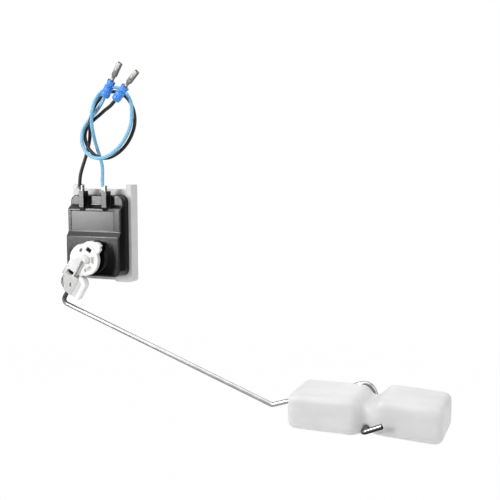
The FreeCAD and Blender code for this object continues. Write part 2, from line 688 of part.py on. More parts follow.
def flange_side(side):
    """The flange goes outwards: to the left on the left terminal, to the right on the right one."""
    middle = TOWERS[side]
    if side == "left":
        outer = f"{INSIDE_LEFT} + flange_gap"
        return (outer, f"{middle} + strip_thick / 2"), (outer, f"{outer} + strip_width")
    outer = f"{INSIDE_RIGHT} - flange_gap"
    return (f"{middle} - strip_thick / 2", outer), (f"{outer} - strip_width", outer)


def terminal(name, side):
    flange_x, leg_x = flange_side(side)
    sheet_depth = ("blade_back", "blade_back + strip_thick")
    flange = block(f"{name}_flange", flange_x, sheet_depth, ("blade_low", "blade_low + flange_height"))
    leg = block(f"{name}_leg", leg_x, sheet_depth, ("foot_low", "blade_low"))
    foot = block(f"{name}_foot", leg_x, ("blade_back", f"{CARD_BACK} - solder_thick"),
                 ("foot_low", "foot_low + strip_thick"))
    return fuse(name, [blade(f"{name}_blade", side, "0"), flange, leg, foot])


def solder_joints():
    joints = []
    for side in TOWERS:
        low, high = flange_side(side)[1]
        middle = f"(({low}) + ({high})) / 2"
        foot_middle = "(foot_low + strip_thick / 2)"
        half = "solder_width / 2"
        joints.append(block(f"{side}_solder", (f"{middle} - {half}", f"{middle} + {half}"),
                            (f"{CARD_BACK} - solder_thick", CARD_BACK),
                            (f"{foot_middle} - {half}", f"{foot_middle} + {half}")))
    return fuse("solder_joints", joints)


def lead_core(name, side):
    """The flattened bare end of a lead, welded to the left of its tab."""
    tab = f"{TOWERS[side]} - strip_thick / 2"
    return block(name, (f"{tab} - lead_from_tab - core_half", tab),
                 ("lead_front - core_half", "lead_front + core_half"),
                 ("lead_end - core_length", "lead_end"))


# Leads: both are tied together in one loose overhand knot

BLACK_ROUTE = [
    (-5.2, -12.9, 33.5), (-5.2, -12.9, 37.4), (-4.3, -12.2, 41.8), (-3.2, -11.0, 46.4), (-2.2, -10.1, 51.1),
    (-0.3, -11.2, 55.8), (1.3, -13.7, 60.3), (2.6, -15.2, 64.4), (4.1, -15.3, 68.1), (4.9, -13.7, 71.4),
    (6.2, -11.2, 74.4), (8.9, -9.2, 76.7), (12.8, -8.2, 76.9), (16.9, -8.6, 75.0), (20.6, -9.7, 71.5),
    (23.2, -11.0, 66.9), (24.0, -12.0, 61.8), (22.6, -12.6, 56.7), (19.6, -13.1, 51.9), (15.4, -13.6, 48.3),
    (10.5, -14.2, 46.2), (5.6, -14.7, 47.0), (1.8, -14.8, 49.9), (-1.1, -13.8, 53.8), (-2.7, -11.9, 57.9),
    (-1.8, -10.7, 61.4), (0.9, -9.9, 64.1), (5.1, -10.9, 66.4), (9.3, -13.5, 68.2), (13.0, -15.4, 69.5),
    (15.0, -16.0, 70.9), (16.5, -16.3, 72.3)]
BLUE_ROUTE = [
    (7.0, -12.9, 33.5), (7.0, -12.9, 37.7), (6.7, -12.0, 42.1), (5.0, -11.0, 46.6), (3.5, -11.6, 51.4),
    (3.4, -13.8, 56.2), (4.0, -16.2, 60.8), (4.6, -17.7, 65.4), (5.2, -17.2, 69.6), (5.8, -15.2, 73.4),
    (7.2, -12.8, 76.7), (10.1, -10.9, 78.7), (14.1, -9.9, 78.6), (18.9, -11.1, 76.2), (22.4, -12.8, 72.1),
    (23.5, -13.9, 67.4), (22.9, -14.1, 62.7), (21.2, -14.3, 58.1), (18.6, -15.0, 53.8), (15.3, -16.2, 50.0),
    (11.2, -17.2, 47.2), (6.5, -17.6, 46.2), (1.9, -17.0, 48.2), (-1.3, -16.2, 52.1), (-2.5, -14.9, 56.7),
    (-2.0, -13.4, 60.8), (0.2, -12.2, 64.1), (3.3, -12.1, 67.2), (6.7, -14.0, 69.5), (9.1, -15.3, 71.7),
    (10.6, -15.7, 73.9)]
RUN_SHARE = 0.45


def lead(name, route):
    """An insulated lead whose bends are as wide as its runs allow."""
    points = [Vector(*point) for point in route]
    return round_bar(name, points, size("lead_radius"),
                     lambda i, run, turn: RUN_SHARE * run / math.tan(turn / 2))


def on_lead_end(route, distance):
    """The frame at a distance past a lead's far end, with its Z along the lead."""
    end = Vector(*route[-1])
    along = (end - Vector(*route[-2])).normalize()
    return Placement(end + along * distance, Rotation(Vector(0, 0, 1), along))


def lead_seal(name, route):
    body = new_body(name)
    stages = [("seal_radius", "seal_length"), ("seal_neck_radius", "seal_neck_length"),
              ("seal_ring_radius", "seal_ring_length")]
    start = "0"
    for number, (radius, length) in enumerate(stages):
        end = f"{start} + {length}"
        pad(body, f"{name}_stage_{number}", [Circle("0", "0", radius)], start, end, "XY_Plane")
        start = end
    rounded = (size("seal_radius"), size("seal_ring_radius"))
    round_edges(body, f"{name}_round", "seal_round",
                lambda edge: edge.Curve.TypeId == "Part::GeomCircle" and edge.Curve.Radius in rounded)
    body.Placement = on_lead_end(route, 0)
    return body


def lead_contact(name, route):
    """A crimped neck and a hollow square socket, open at its tip."""
    body = new_body(name)

    def square(width):
        return box_outline(f"-{width} / 2", f"{width} / 2", f"-{width} / 2", f"{width} / 2")

    end = "crimp_length + socket_length"
    pad(body, f"{name}_crimp", [square("crimp_width")], "0", "crimp_length", "XY_Plane")
    pad(body, f"{name}_socket", [square("socket_width")], "crimp_length", end, "XY_Plane")
    pocket(body, f"{name}_hollow", [square("(socket_width - 2 * socket_wall)")],
           "crimp_length + socket_bottom", end, "XY_Plane")
    body.Placement = on_lead_end(route, value_of("seal_length + seal_neck_length + seal_ring_length"))
    return body


# Hub and magnet, drawn with the lever straight down and then turned

def hub_blank(body):
    """Disc, web, lug, right wing and the rim of the left bulge."""
    web_front = f"{DISC_BACK} + web_thick"
    bulge = Circle("-bulge_x", "-bulge_drop", "bulge_radius")
    web_left = "-bulge_x - bulge_radius"
    pad(body, "disc", [Circle("0", "0", "disc_radius")], DISC_BACK, DISC_FRONT)
    pad(body, "web", [[(web_left, "-0.45 * disc_radius"), (web_left, "-bulge_drop"),
                       ("-bulge_x", "-lever_end"), ("web_right", "-lever_end"), ("web_right", "-wing_top"),
                       ("wing_left", "-wing_top"), ("wing_left", "-0.8 * disc_radius")]],
        DISC_BACK, web_front)
    pad(body, "left_bulge", [bulge], DISC_BACK, web_front)
    pad(body, "left_rim", [bulge, bulge._replace(radius="bulge_radius - rim_thick")], DISC_BACK, "rim_front")
    wing_inner = "web_right - wing_thick"
    wing_under = "-wing_top - wing_thick"
    pad(body, "right_wing", [[("wing_left", "-wing_top"), ("wing_left", wing_under), (wing_inner, wing_under),
                              (wing_inner, "-lever_end"), ("web_right", "-lever_end"),
                              ("web_right", "-wing_top")]],
        DISC_BACK, "wing_front")
    round_edges(body, "wing_shoulder", "wing_round", at_corners(("web_right", "-wing_top")))
    round_edges(body, "wing_corner", "wing_round - wing_thick", at_corners((wing_inner, wing_under)))
    pad(body, "lug", [[("-0.86 * lug_half", "0.62 * lug_peak"), ("-0.7 * lug_half", "0.4 * disc_radius"),
                       ("0.9 * lug_half", "0.4 * disc_radius"), ("1.05 * lug_half", "0.8 * lug_peak"),
                       ("0.85 * lug_half", "0.85 * lug_peak"), ("0.89 * lug_half", "0.96 * lug_peak"),
                       ("0.5 * lug_half", "lug_peak"), ("0.16 * lug_half", "0.96 * lug_peak"),
                       ("0", "0.89 * lug_peak"), ("-0.28 * lug_half", "0.89 * lug_peak"),
                       ("-0.64 * lug_half", "0.76 * lug_peak")]],
        DISC_BACK, "lug_front")


def hub_hood(body):
    """The hood ends in an arch over the axle and leaves the wire's right side open."""
    web_front = f"{DISC_BACK} + web_thick"
    arch = [("arch_right", "hood_top"), ("-arch_left", "hood_top")]
    pad(body, "hood", [[("-hood_left", "-hood_low"), ("hood_right", "-hood_low"), ("hood_right", "-arch_low"),
                        ("arch_right", "-arch_low")] + arch], web_front, "hood_front")
    round_edges(body, "hood_arch", "arch_round", at_corners(*arch))
    front = -size("hood_front")
    edge_x, foot = size("hood_right"), -size("hood_low")

    def outer_front(edge):
        middle = edge.CenterOfMass
        in_face = abs(edge.BoundBox.YMin - front) < NEAR and abs(edge.BoundBox.YMax - front) < NEAR
        return in_face and middle.z > foot + NEAR and abs(middle.x - edge_x) > NEAR

    round_edges(body, "hood_edges", "hood_round", outer_front)


def hub_clip(body):
    """The block that clips over the wire, with a mouth between it and the hood."""
    web_front = f"{DISC_BACK} + web_thick"
    pad(body, "clip_block", [[("-clip_left", "-hood_low"), ("-clip_left", "-clip_step"),
                              ("-clip_waist", "-clip_step"), ("-0.95 * clip_waist", "-0.72 * lever_end"),
                              ("-bulge_x", "-0.92 * lever_end"), ("-wire_radius", "-lever_end"),
                              ("clip_right", "-lever_end"), ("clip_right", "-clip_top"),
                              ("hood_right", "-clip_top"), ("hood_right", "-hood_low")]],
        web_front, "clip_front")
    wing_inner = "web_right - wing_thick"
    pad(body, "clip_flank", [[("clip_right", f"-({web_front})"), ("clip_right", "-clip_front"),
                              (wing_inner, "-flank_front"), (wing_inner, f"-({web_front})")]],
        "-lever_end", "-wing_top - wing_thick", "XY_Plane")
    pocket(body, "dimple", [Circle("dimple_x", "-dimple_drop", "dimple_radius")],
           "clip_front - dimple_sink", "clip_front")
    roof_back = "clip_front - mouth_roof"
    room = box_outline("rim_thick - bulge_x - bulge_radius", "-mouth_right", "-clip_step", "-hood_low")
    pocket(body, "mouth_room", [room], DISC_BACK, roof_back)
    mouth_top = "-hood_low - mouth_lip"
    mouth = box_outline("-mouth_left", "-mouth_right", f"{mouth_top} - mouth_height", mouth_top)
    pocket(body, "mouth", [mouth], roof_back, "clip_front")
    round_edges(body, "mouth_ends", "mouth_round", at_corners(*mouth))


def hub_pivot(body):
    """The snap spigot, the wire's bore and channel, and the lips that hold the wire."""
    pad(body, "spigot", [Circle("0", "0", "spigot_radius")], "spigot_end", f"{DISC_BACK} + disc_thick / 4")
    pad(body, "snap_lip", [Circle("0", "0", "spigot_radius + lip_reach")], "lip_back", "lip_back + lip_thick")
    channel = "(wire_radius + wire_fit)"
    pocket(body, "axle_bore", [Circle("0", "0", channel)], "spigot_end", WIRE_DEPTH)
    slot = box_outline("-snap_slot / 2", "snap_slot / 2", "-2 * spigot_radius", "2 * spigot_radius")
    pocket(body, "snap_cut", [slot], "spigot_end", "snap_slot_end")
    pocket(body, "wire_channel", [box_outline(f"-{channel}", channel, "-2 * lever_end", channel)],
           f"{WIRE_DEPTH} - axle_bend - wire_fit", f"{WIRE_DEPTH} + {channel}")
    hold_front = f"{WIRE_DEPTH} - wire_radius - hold_gap"
    for side, sign in (("left", "-"), ("right", "")):
        inner, outer = f"{sign}({channel} - hold_reach)", f"{sign}({channel} + hold_reach)"
        pad(body, f"{side}_hold", [box_outline(inner, outer, "-hold_top - hold_length", "-hold_top")],
            f"{hold_front} - hold_thick", hold_front)


def hub_windows(body):
    """The magnet's pocket with its window, and the small window beside it."""
    half_width = "(magnet_width / 2 + magnet_fit)"
    half_height = "(magnet_height / 2 + magnet_fit)"
    pocket(body, "magnet_pocket", [box_outline(f"-{half_width}", half_width, f"magnet_at - {half_height}",
                                               f"magnet_at + {half_height}")],
           DISC_BACK, f"{DISC_BACK} + magnet_thick + magnet_fit")
    pocket(body, "magnet_window", [box_outline(f"-({half_width} - magnet_lap)", f"{half_width} - magnet_lap",
                                               f"magnet_at - {half_height} + magnet_lap",
                                               f"magnet_at + {half_height} - magnet_lap")],
           f"{DISC_BACK} + magnet_thick", DISC_FRONT)
    small = box_outline("-window_x - window_width / 2", "-window_x + window_width / 2",
                        "window_z - window_height / 2", "window_z + window_height / 2")
    pocket(body, "small_window", [small], DISC_BACK, DISC_FRONT)


def arm_hub():
    body = new_body("hub_moulding")
    hub_blank(body)
    hub_hood(body)
    hub_clip(body)
    hub_pivot(body)
    hub_windows(body)
    body.Placement = HUB_TURN
    room = "(stop_peg_radius + stop_gap)"
    end_angle = math.degrees(value_of(f"{room} / stop_radius"))
    half_sweep = size("swing_range") / 2 + end_angle
    hollows = [ring_sector("stop_groove", f"stop_radius - {room}", f"stop_radius + {room}",
                           -half_sweep - size("lever_angle"), f"swing_range + 2 * {end_angle}",
                           (DISC_BACK, f"{DISC_BACK} + groove_sink"))]
    for level in ("upper", "lower"):
        start = value_of(f"{level}_recess_start - lever_angle")
        hollows.append(ring_sector(f"{level}_recess", "recess_inner", "recess_outer", start,
                                   f"{level}_recess_sweep", (f"{DISC_FRONT} - recess_sink", DISC_FRONT)))
    return cut("arm_hub", body, fuse("hub_hollows", hollows))


def hub_magnet():
    body = new_body("hub_magnet")
    outline = box_outline("-magnet_width / 2", "magnet_width / 2", "magnet_at - magnet_height / 2",
                          "magnet_at + magnet_height / 2")
    pad(body, "magnet_block", [outline], DISC_BACK, f"{DISC_BACK} + magnet_thick")
    body.Placement = HUB_TURN
    return body


# Wire arm and float

def polar(start, length, angle):
    """A point at a distance from another, at an angle above +X in a plane parallel to the mounting face."""
    turn = math.radians(angle)
    return start + Vector(length * math.cos(turn), 0, length * math.sin(turn))


PIN_CORNER = 5


def arm_points():
    pivot = Vector(0, -value_of(WIRE_DEPTH), 0)
    first_bend = polar(pivot, size("lever_length"), 270 - size("lever_angle"))
    second_bend = polar(first_bend, size("arm_length"), -size("arm_droop"))
    peak = polar(second_bend, size("rise_length"), size("rise_angle"))
    pin_back = polar(peak, size("drop_length"), -size("drop_angle"))
    pin_front = Vector(pin_back.x, -value_of(f"{FLOAT_FRONT} + hook_gap + wire_radius"), pin_back.z)
    hook_end = polar(pin_front, size("hook_length"), size("hook_angle"))
    axle_end = Vector(0, -size("axle_end"), 0)
    return [axle_end, pivot, first_bend, second_bend, peak, pin_back, pin_front, hook_end]


def float_arm():
    bends = ["axle_bend", "arm_bend", "arm_bend", "loop_bend", "hook_bend", "hook_bend"]
    return round_bar("float_arm", arm_points(), size("wire_radius"), lambda i, run, turn: size(bends[i - 1]))


def tank_float():
    """A block with a waist at its pin, drawn round the pin, whose right half is bowed upwards."""
    body = new_body("float")
    left, right = "float_shift - float_length / 2", "float_shift + float_length / 2"
    low, high = "-pin_height", "float_height - pin_height"

    def bowed(level, x):
        return (x, f"{level} + bow_lift - ({x}) * tan(bow_fall)")

    pad(body, "float_block", [[(left, low), ("-notch_half", low), ("0", f"{low} + low_notch_sink"),
                               bowed(low, "notch_half"), bowed(low, right), bowed(high, right),
                               bowed(high, "notch_half"), ("0", f"{high} - top_notch_sink"),
                               ("-notch_half", high), (left, high)]], FLOAT_BACK, FLOAT_FRONT)
    back, front = f"-({FLOAT_BACK})", f"-({FLOAT_FRONT})"
    for name, face, middle in (("back", back, f"{back} - side_notch_sink"),
                               ("front", front, f"{front} + side_notch_sink")):
        pocket(body, f"{name}_notch", [[("-notch_half", face), ("0", middle), ("notch_half", face)]],
               low, f"{high} + bow_lift", "XY_Plane")
    round_edges(body, "float_edges", "float_round", lambda edge: True)
    pocket(body, "pin_hole", [Circle("0", "0", "wire_radius + pin_fit")], FLOAT_BACK, FLOAT_FRONT)
    pin = arm_points()[PIN_CORNER]
    body.Placement = Placement(Vector(pin.x, 0, pin.z), Rotation())
    return body


# Build every sub-part, check it and write it

PARTS = {
    "mounting_plate": mounting_plate(),
    "sensor_housing": sensor_housing(),
    "housing_back_cover": housing_back_cover(),
    "resistor_card": resistor_card(),
    "resistor_track": resistor_track(),
    "spacer_strip": spacer_strip(),
    "contact_comb": contact_comb(),
    "sensor_lid": sensor_lid(),
    "ground_terminal": terminal("ground_terminal", "left"),
    "signal_terminal": terminal("signal_terminal", "right"),
    "solder_joints": solder_joints(),
    "black_lead_core": lead_core("black_lead_core", "left"),
    "blue_lead_core": lead_core("blue_lead_core", "right"),
    "black_lead": lead("black_lead", BLACK_ROUTE),
    "blue_lead": lead("blue_lead", BLUE_ROUTE),
    "black_lead_seal": lead_seal("black_lead_seal", BLACK_ROUTE),
    "blue_lead_seal": lead_seal("blue_lead_seal", BLUE_ROUTE),
    "black_lead_contact": lead_contact("black_lead_contact", BLACK_ROUTE),
    "blue_lead_contact": lead_contact("blue_lead_contact", BLUE_ROUTE),
    "arm_hub": arm_hub(),
    "hub_magnet": hub_magnet(),
    "float_arm": float_arm(),
    "float": tank_float(),
}
doc.recompute()
for item in doc.Objects:
    if "Invalid" in item.State or "Error" in item.State:
        raise RuntimeError(f"{item.Name} failed: {item.State}")
for node, item in PARTS.items():
    item.Label = node
    if item.Shape.isNull() or not item.Shape.isValid():
        raise RuntimeError(f"{node} has no valid shape")

os.makedirs("parts", exist_ok=True)
for node, item in PARTS.items():
    item.Shape.exportStep(f"parts/{node}.step")
    print(f"{node}: {len(item.Shape.Solids)} solid, {item.Shape.Volume:.1f} mm3")
print("float pin:", arm_points()[PIN_CORNER])
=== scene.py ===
"""Dresses a fuel level sender: finishes, leads, seals, contacts, float skin, stage and camera."""

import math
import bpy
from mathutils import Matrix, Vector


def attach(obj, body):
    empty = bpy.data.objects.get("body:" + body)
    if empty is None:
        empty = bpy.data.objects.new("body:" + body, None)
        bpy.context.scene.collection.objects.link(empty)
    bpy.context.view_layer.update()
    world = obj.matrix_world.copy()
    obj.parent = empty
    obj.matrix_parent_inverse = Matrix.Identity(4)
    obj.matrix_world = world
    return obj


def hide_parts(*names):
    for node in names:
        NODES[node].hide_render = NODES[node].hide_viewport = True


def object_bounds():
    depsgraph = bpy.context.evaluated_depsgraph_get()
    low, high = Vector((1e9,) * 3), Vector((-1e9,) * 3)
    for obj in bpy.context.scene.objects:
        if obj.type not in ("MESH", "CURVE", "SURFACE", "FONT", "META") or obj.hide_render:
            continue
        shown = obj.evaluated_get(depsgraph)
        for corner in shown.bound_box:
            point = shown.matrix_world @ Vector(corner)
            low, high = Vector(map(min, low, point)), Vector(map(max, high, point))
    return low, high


bl_info = {
    "name": "Fuel level sender",
    "version": (1, 0, 0),
    "blender": (4, 5, 0),
    "location": "View3D > Sidebar > Sender",
    "description": "Finishes, leads and stage for a fuel level sender",
    "category": "Object",
}

from collections import namedtuple

import bmesh
import bpy
from bpy.props import FloatProperty, FloatVectorProperty, IntProperty, PointerProperty
from mathutils import Matrix, Vector

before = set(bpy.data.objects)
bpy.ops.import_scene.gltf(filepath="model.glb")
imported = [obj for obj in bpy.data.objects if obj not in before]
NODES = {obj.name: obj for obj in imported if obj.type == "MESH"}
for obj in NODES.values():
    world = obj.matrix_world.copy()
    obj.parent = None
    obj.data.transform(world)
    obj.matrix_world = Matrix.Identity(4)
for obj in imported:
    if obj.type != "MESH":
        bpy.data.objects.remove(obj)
CAD_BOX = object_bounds()
MM = 0.001
WHITE = (1.0, 1.0, 1.0)

# Routes of the two leads, from the weld on each tab to the seal, in metres
LEAD_ROUTES = {
    "black": [
        (-0.0052, -0.0129, 0.0335), (-0.0052, -0.0129, 0.0374), (-0.0043, -0.0122, 0.0418),
        (-0.0032, -0.0110, 0.0464), (-0.0022, -0.0101, 0.0511), (-0.0003, -0.0112, 0.0558),
        (0.0013, -0.0137, 0.0603), (0.0026, -0.0152, 0.0644), (0.0041, -0.0153, 0.0681),
        (0.0049, -0.0137, 0.0714), (0.0062, -0.0112, 0.0744), (0.0089, -0.0092, 0.0767),
        (0.0128, -0.0082, 0.0769), (0.0169, -0.0086, 0.0750), (0.0206, -0.0097, 0.0715),
        (0.0232, -0.0110, 0.0669), (0.0240, -0.0120, 0.0618), (0.0226, -0.0126, 0.0567),
        (0.0196, -0.0131, 0.0519), (0.0154, -0.0136, 0.0483), (0.0105, -0.0142, 0.0462),
        (0.0056, -0.0147, 0.0470), (0.0018, -0.0148, 0.0499), (-0.0011, -0.0138, 0.0538),
        (-0.0027, -0.0119, 0.0579), (-0.0018, -0.0107, 0.0614), (0.0009, -0.0099, 0.0641),
        (0.0051, -0.0109, 0.0664), (0.0093, -0.0135, 0.0682), (0.0130, -0.0154, 0.0695),
        (0.0150, -0.0160, 0.0709), (0.0165, -0.0163, 0.0723)],
    "blue": [
        (0.0070, -0.0129, 0.0335), (0.0070, -0.0129, 0.0377), (0.0067, -0.0120, 0.0421),
        (0.0050, -0.0110, 0.0466), (0.0035, -0.0116, 0.0514), (0.0034, -0.0138, 0.0562),
        (0.0040, -0.0162, 0.0608), (0.0046, -0.0177, 0.0654), (0.0052, -0.0172, 0.0696),
        (0.0058, -0.0152, 0.0734), (0.0072, -0.0128, 0.0767), (0.0101, -0.0109, 0.0787),
        (0.0141, -0.0099, 0.0786), (0.0189, -0.0111, 0.0762), (0.0224, -0.0128, 0.0721),
        (0.0235, -0.0139, 0.0674), (0.0233, -0.0141, 0.0625), (0.0217, -0.0143, 0.0578),
        (0.0192, -0.0150, 0.0533), (0.0158, -0.0162, 0.0495), (0.0115, -0.0172, 0.0467),
        (0.0065, -0.0176, 0.0462), (0.0019, -0.0170, 0.0482), (-0.0013, -0.0162, 0.0521),
        (-0.0025, -0.0149, 0.0567), (-0.0020, -0.0134, 0.0608), (0.0002, -0.0122, 0.0641),
        (0.0033, -0.0121, 0.0672), (0.0067, -0.0140, 0.0695), (0.0091, -0.0153, 0.0717),
        (0.0106, -0.0157, 0.0739)],
}
LEAD_SIDES = 8
LEAD_STEPS = 10

# Outline of a seal, as shares of its radius and of its length
SEAL_TAIL = ((0.62, 0.0), (0.80, 0.012), (0.92, 0.04))
SEAL_FRONT = (
    (0.85, 0.683), (0.70, 0.703), (0.67, 0.723), (0.70, 0.746), (0.78, 0.756), (0.83, 0.786),
    (0.83, 0.930), (0.79, 0.975), (0.66, 1.0))

# The ribbed body between a seal's tail and front: where it starts and ends, and its ribs
SEAL_BODY = (0.07, 0.653)
SEAL_STEPS = 40
SEAL_RIBS = 2.5
SEAL_RIB_DEPTH = 0.05

# Sections of a contact's neck: share of its length; half width, half height and corner over half its width
NECK_SECTIONS = (
    (0.00, 0.70, 0.45, 0.3),
    (0.06, 1.00, 0.80, 0.5),
    (0.36, 1.00, 0.92, 0.6),
    (0.42, 0.80, 0.62, 0.4),
    (0.52, 0.80, 0.62, 0.4),
    (0.60, 1.00, 0.80, 0.4),
    (0.86, 1.00, 0.85, 0.4),
)

# Sections of a socket: at its neck (0) or its tip (1), then shift and half width over half its width
SOCKET_OUTSIDE = ((0, 0.0, 0.96), (0, 0.05, 1.0), (1, -0.35, 1.0), (1, -0.06, 0.93), (1, 0.0, 0.86))
SOCKET_INSIDE = ((1, -0.02, 1.0), (0, 0.6, 0.98))
SOCKET_CORNER = 0.32

# Tongues pressed out of a socket's sides: where they start and end along it, and how far they stand out
Tongue = namedtuple("Tongue", "turn start end lift")
TONGUES = (
    Tongue(turn=0.0, start=0.25, end=0.62, lift=0.22),
    Tongue(turn=math.pi, start=0.30, end=0.80, lift=0.10),
)

# Half width, half height and corner at a tongue's two ends, then its half width, slope and ramps between them
TONGUE_ENDS = (0.36, 0.02, 0.01)
TONGUE_WIDTH = 0.42
TONGUE_SLOPE = 0.6
TONGUE_RISE = 0.02
TONGUE_FALL = 0.03
TONGUE_FRONT_CORNER = 0.05
TONGUE_BACK_CORNER = 0.04

# Wings of a contact round its seal, as shares of the seal's radius, of the sheet and of the seal's length
WING_RADIUS = 0.825
WING_THICKNESS = 0.5
WING_BACK = -0.10
WING_FRONT = 0.012
WING_SPREAD = math.radians(80)
WING_STEPS = 14

# Tints of the tin on the contacts and on the leads' welded ends; the two welds are the same tin, painted
# darker on the black lead as shade and lighter on the blue one as a highlight
CONTACT_TINT = 0.62
WELD_LIGHT_AND_SHADE_TINTS = {"black_lead_core": 0.15, "blue_lead_core": 1.3}

# Facets that are joined and flattened before an edge is rounded
JOIN_REACH = 0.002 * MM
FLAT_WITHIN = math.radians(0.5)

# The bare label field on the housing's middle face
LABEL_LEFT = -10.3 * MM
LABEL_RIGHT = 12.8 * MM
LABEL_LOW = 12.6 * MM
LABEL_TOP = 23.4 * MM
LABEL_BLUR = 0.05 * MM

# The patch beside the bearing that the swinging hub has rubbed smooth, where the hub's shade is also painted
# as a darker colour
SWEPT_SHADE_LEFT = 1.0 * MM
SWEPT_SHADE_RADIUS = 14.8 * MM
SWEPT_SHADE_BLUR = 1.5 * MM
SWEPT_SHADE_TOP = 10.0 * MM
SWEPT_SHADE_FADE = 4.0 * MM
HUB_SHADE_TINT = 0.3

# Depths between which shade is painted on the front faces of the hub's hood and clip, as a greyer colour
RAISED_SHADE_FROM = -20.1 * MM
RAISED_SHADE_TO = -20.6 * MM

# Distances from the pivot between which the hub's clip begins, and how much greyer its painted shade is
CLIP_FROM = 8.0 * MM
CLIP_TO = 11.0 * MM
CLIP_SHADE_TINT = 0.8

# The floors of the shallow recesses in the hub's disc, where shade is painted greyer: distances from the
# pivot, depths and tint
RECESS_INNER = 4.2 * MM
RECESS_OUTER = 5.75 * MM
RECESS_FRONT = -18.65 * MM
RECESS_BACK = -18.1 * MM
RECESS_BLUR = 0.15 * MM
RECESS_SHADE_TINT = 0.72

# The stretch of the wire arm, measured from its pivot, that is painted darkest as shade, and how dark the
# stretch inside it is
DARK_WIRE_START = 14.0 * MM
DARK_WIRE_END = 23.0 * MM
DARK_WIRE_BLUR = 2.0 * MM
WIRE_SHADE_TINT = 0.2
DARK_WIRE_INSIDE = 0.35

# The lever that the wire follows through the hub's slot, where a highlight is painted on its right flank
LEVER_TILT = math.radians(31.4)
SLOT_END = 11.0 * MM
SLOT_BLUR = 1.0 * MM
FLANK_FROM = 0.45 * MM
FLANK_TO = 0.75 * MM
FLANK_HIGHLIGHT_TINT = 2.4

# The hook of the wire in front of the float, painted duller to tone down its highlight, and painted dark
# below its middle as shade
HOOK_PLACE = Vector((139.417, -49.5, -54.357)) * MM
HOOK_SLOPE = math.radians(24.0)
HOOK_BLUR = 0.35 * MM
HOOK_TINT = 0.55
HOOK_UNDER_SHADE_TINT = 0.08

# Lamps and dark cards: each faces a point, from an azimuth and elevation in degrees
Panel = namedtuple("Panel", "target azimuth elevation distance size")
BEARING = Vector((0.0, -0.02, 0.0))
HOUSING = Vector((0.0, -0.02, 0.02))
ARM_MIDDLE = Vector((0.07, -0.03, 0.0))
LAMPS = {
    "key_softbox": Panel(HOUSING, azimuth=-34, elevation=8.5, distance=0.6, size=(0.09, 0.27)),
    "top_softbox": Panel(ARM_MIDDLE, azimuth=-30, elevation=80, distance=0.7, size=(0.8, 0.8)),
    "side_softbox": Panel(HOUSING, azimuth=82, elevation=18, distance=0.8, size=(0.5, 0.5)),
    "back_softbox": Panel(HOUSING, azimuth=170, elevation=22, distance=0.9, size=(0.6, 0.6)),
    "edge_strip": Panel(HOUSING, azimuth=-33, elevation=30, distance=0.6, size=(0.16, 0.04)),
}
FLAGS = {
    "front_flag": Panel(BEARING, azimuth=-30, elevation=-14, distance=0.5, size=(0.34, 0.20)),
    "side_flag": Panel(BEARING, azimuth=146, elevation=-2, distance=0.5, size=(0.60, 0.60)),
}

# The floor: half its side, its middle, how much of it glows white, and where all of it does
FLOOR_HALF = 6.0
FLOOR_X = 0.05
FLOOR_GLOW = 0.95
GLOW_FROM = 0.10
GLOW_TO = 0.60


# Sizes and colours that a user would change

def length(name, description, default):
    return FloatProperty(name=name, description=description, default=default, min=0.0, precision=5,
                         unit="LENGTH")


def colour(name, description, default):
    return FloatVectorProperty(name=name, description=description, default=default, size=3, min=0.0, max=1.0,
                               subtype="COLOR")


def angle(name, description, default):
    return FloatProperty(name=name, description=description, default=math.radians(default), subtype="ANGLE")


def power(name, description, default):
    return FloatProperty(name=name, description=description, default=default, unit="POWER")


class SenderLeadSizes(bpy.types.PropertyGroup):
    """Sizes of the leads and of what is on their ends"""
    lead_diameter: length("Lead diameter", "Outside of the insulation", 1.6 * MM)
    seal_radius: length("Seal radius", "Thickest part of a seal", 2.1 * MM)
    seal_length: length("Seal length", "From the lead's end to the contact", 8.2 * MM)
    crimp_width: length("Crimp width", "Neck of a contact", 1.5 * MM)
    crimp_length: length("Crimp length", "Neck of a contact", 2.7 * MM)
    socket_width: length("Socket width", "Square socket of a contact", 2.1 * MM)
    socket_length: length("Socket length", "Square socket of a contact", 6.6 * MM)
    sheet_thickness: length("Sheet thickness", "Sheet that a contact is folded from", 0.28 * MM)


class SenderMouldSizes(bpy.types.PropertyGroup):
    """Edges and skins of the moulded pieces"""
    housing_edge: length("Housing edge", "Rounding of the housing's edges", 0.20 * MM)
    plate_edge: length("Plate edge", "Rounding of the plate's edges", 0.25 * MM)
    hub_edge: length("Hub edge", "Rounding of the hub's edges", 0.22 * MM)
    strip_edge: length("Strip edge", "Rounding of stamped strip", 0.06 * MM)
    float_voxel: length("Float voxel", "Grid on which the float's skin is rebuilt", 0.45 * MM)
    float_smoothing: IntProperty(name="Float smoothing", default=30, min=0, max=60,
                                 description="Rounds of smoothing on the float's skin")


class SenderColours(bpy.types.PropertyGroup):
    """Colours of the finishes"""
    black_plastic: colour("Black plastic", "Housing", (0.003, 0.003, 0.0032))
    plate_plastic: colour("Plate plastic", "Mounting plate", (0.58, 0.58, 0.58))
    hub_plastic: colour("Hub plastic", "Arm hub", (0.73, 0.73, 0.725))
    float_skin: colour("Float skin", "Float", (0.63, 0.63, 0.63))
    arm_steel: colour("Arm steel", "Wire arm", (0.33, 0.33, 0.335))
    blue_sleeve: colour("Blue sleeve", "Insulation of the signal lead", (0.19, 0.44, 0.65))
    black_sleeve: colour("Black sleeve", "Insulation of the ground lead", (0.006, 0.0065, 0.008))
    seal_rubber: colour("Seal rubber", "Seals on the leads' ends", (0.05, 0.25, 0.74))
    tin: colour("Tin", "Terminals and contacts", (0.36, 0.36, 0.355))
    ceramic: colour("Ceramic", "Card of the sensor", (0.80, 0.79, 0.74))
    resist: colour("Resistor ink", "Printed track of the sensor", (0.02, 0.02, 0.02))
    film: colour("Spacer film", "Spacer of the sensor", (0.50, 0.26, 0.05))
    foil: colour("Foil", "Contact comb of the sensor", (0.72, 0.58, 0.32))
    lid: colour("Lid", "Lid of the sensor", (0.60, 0.60, 0.59))
    magnet: colour("Magnet", "Magnet in the hub", (0.006, 0.006, 0.0065))


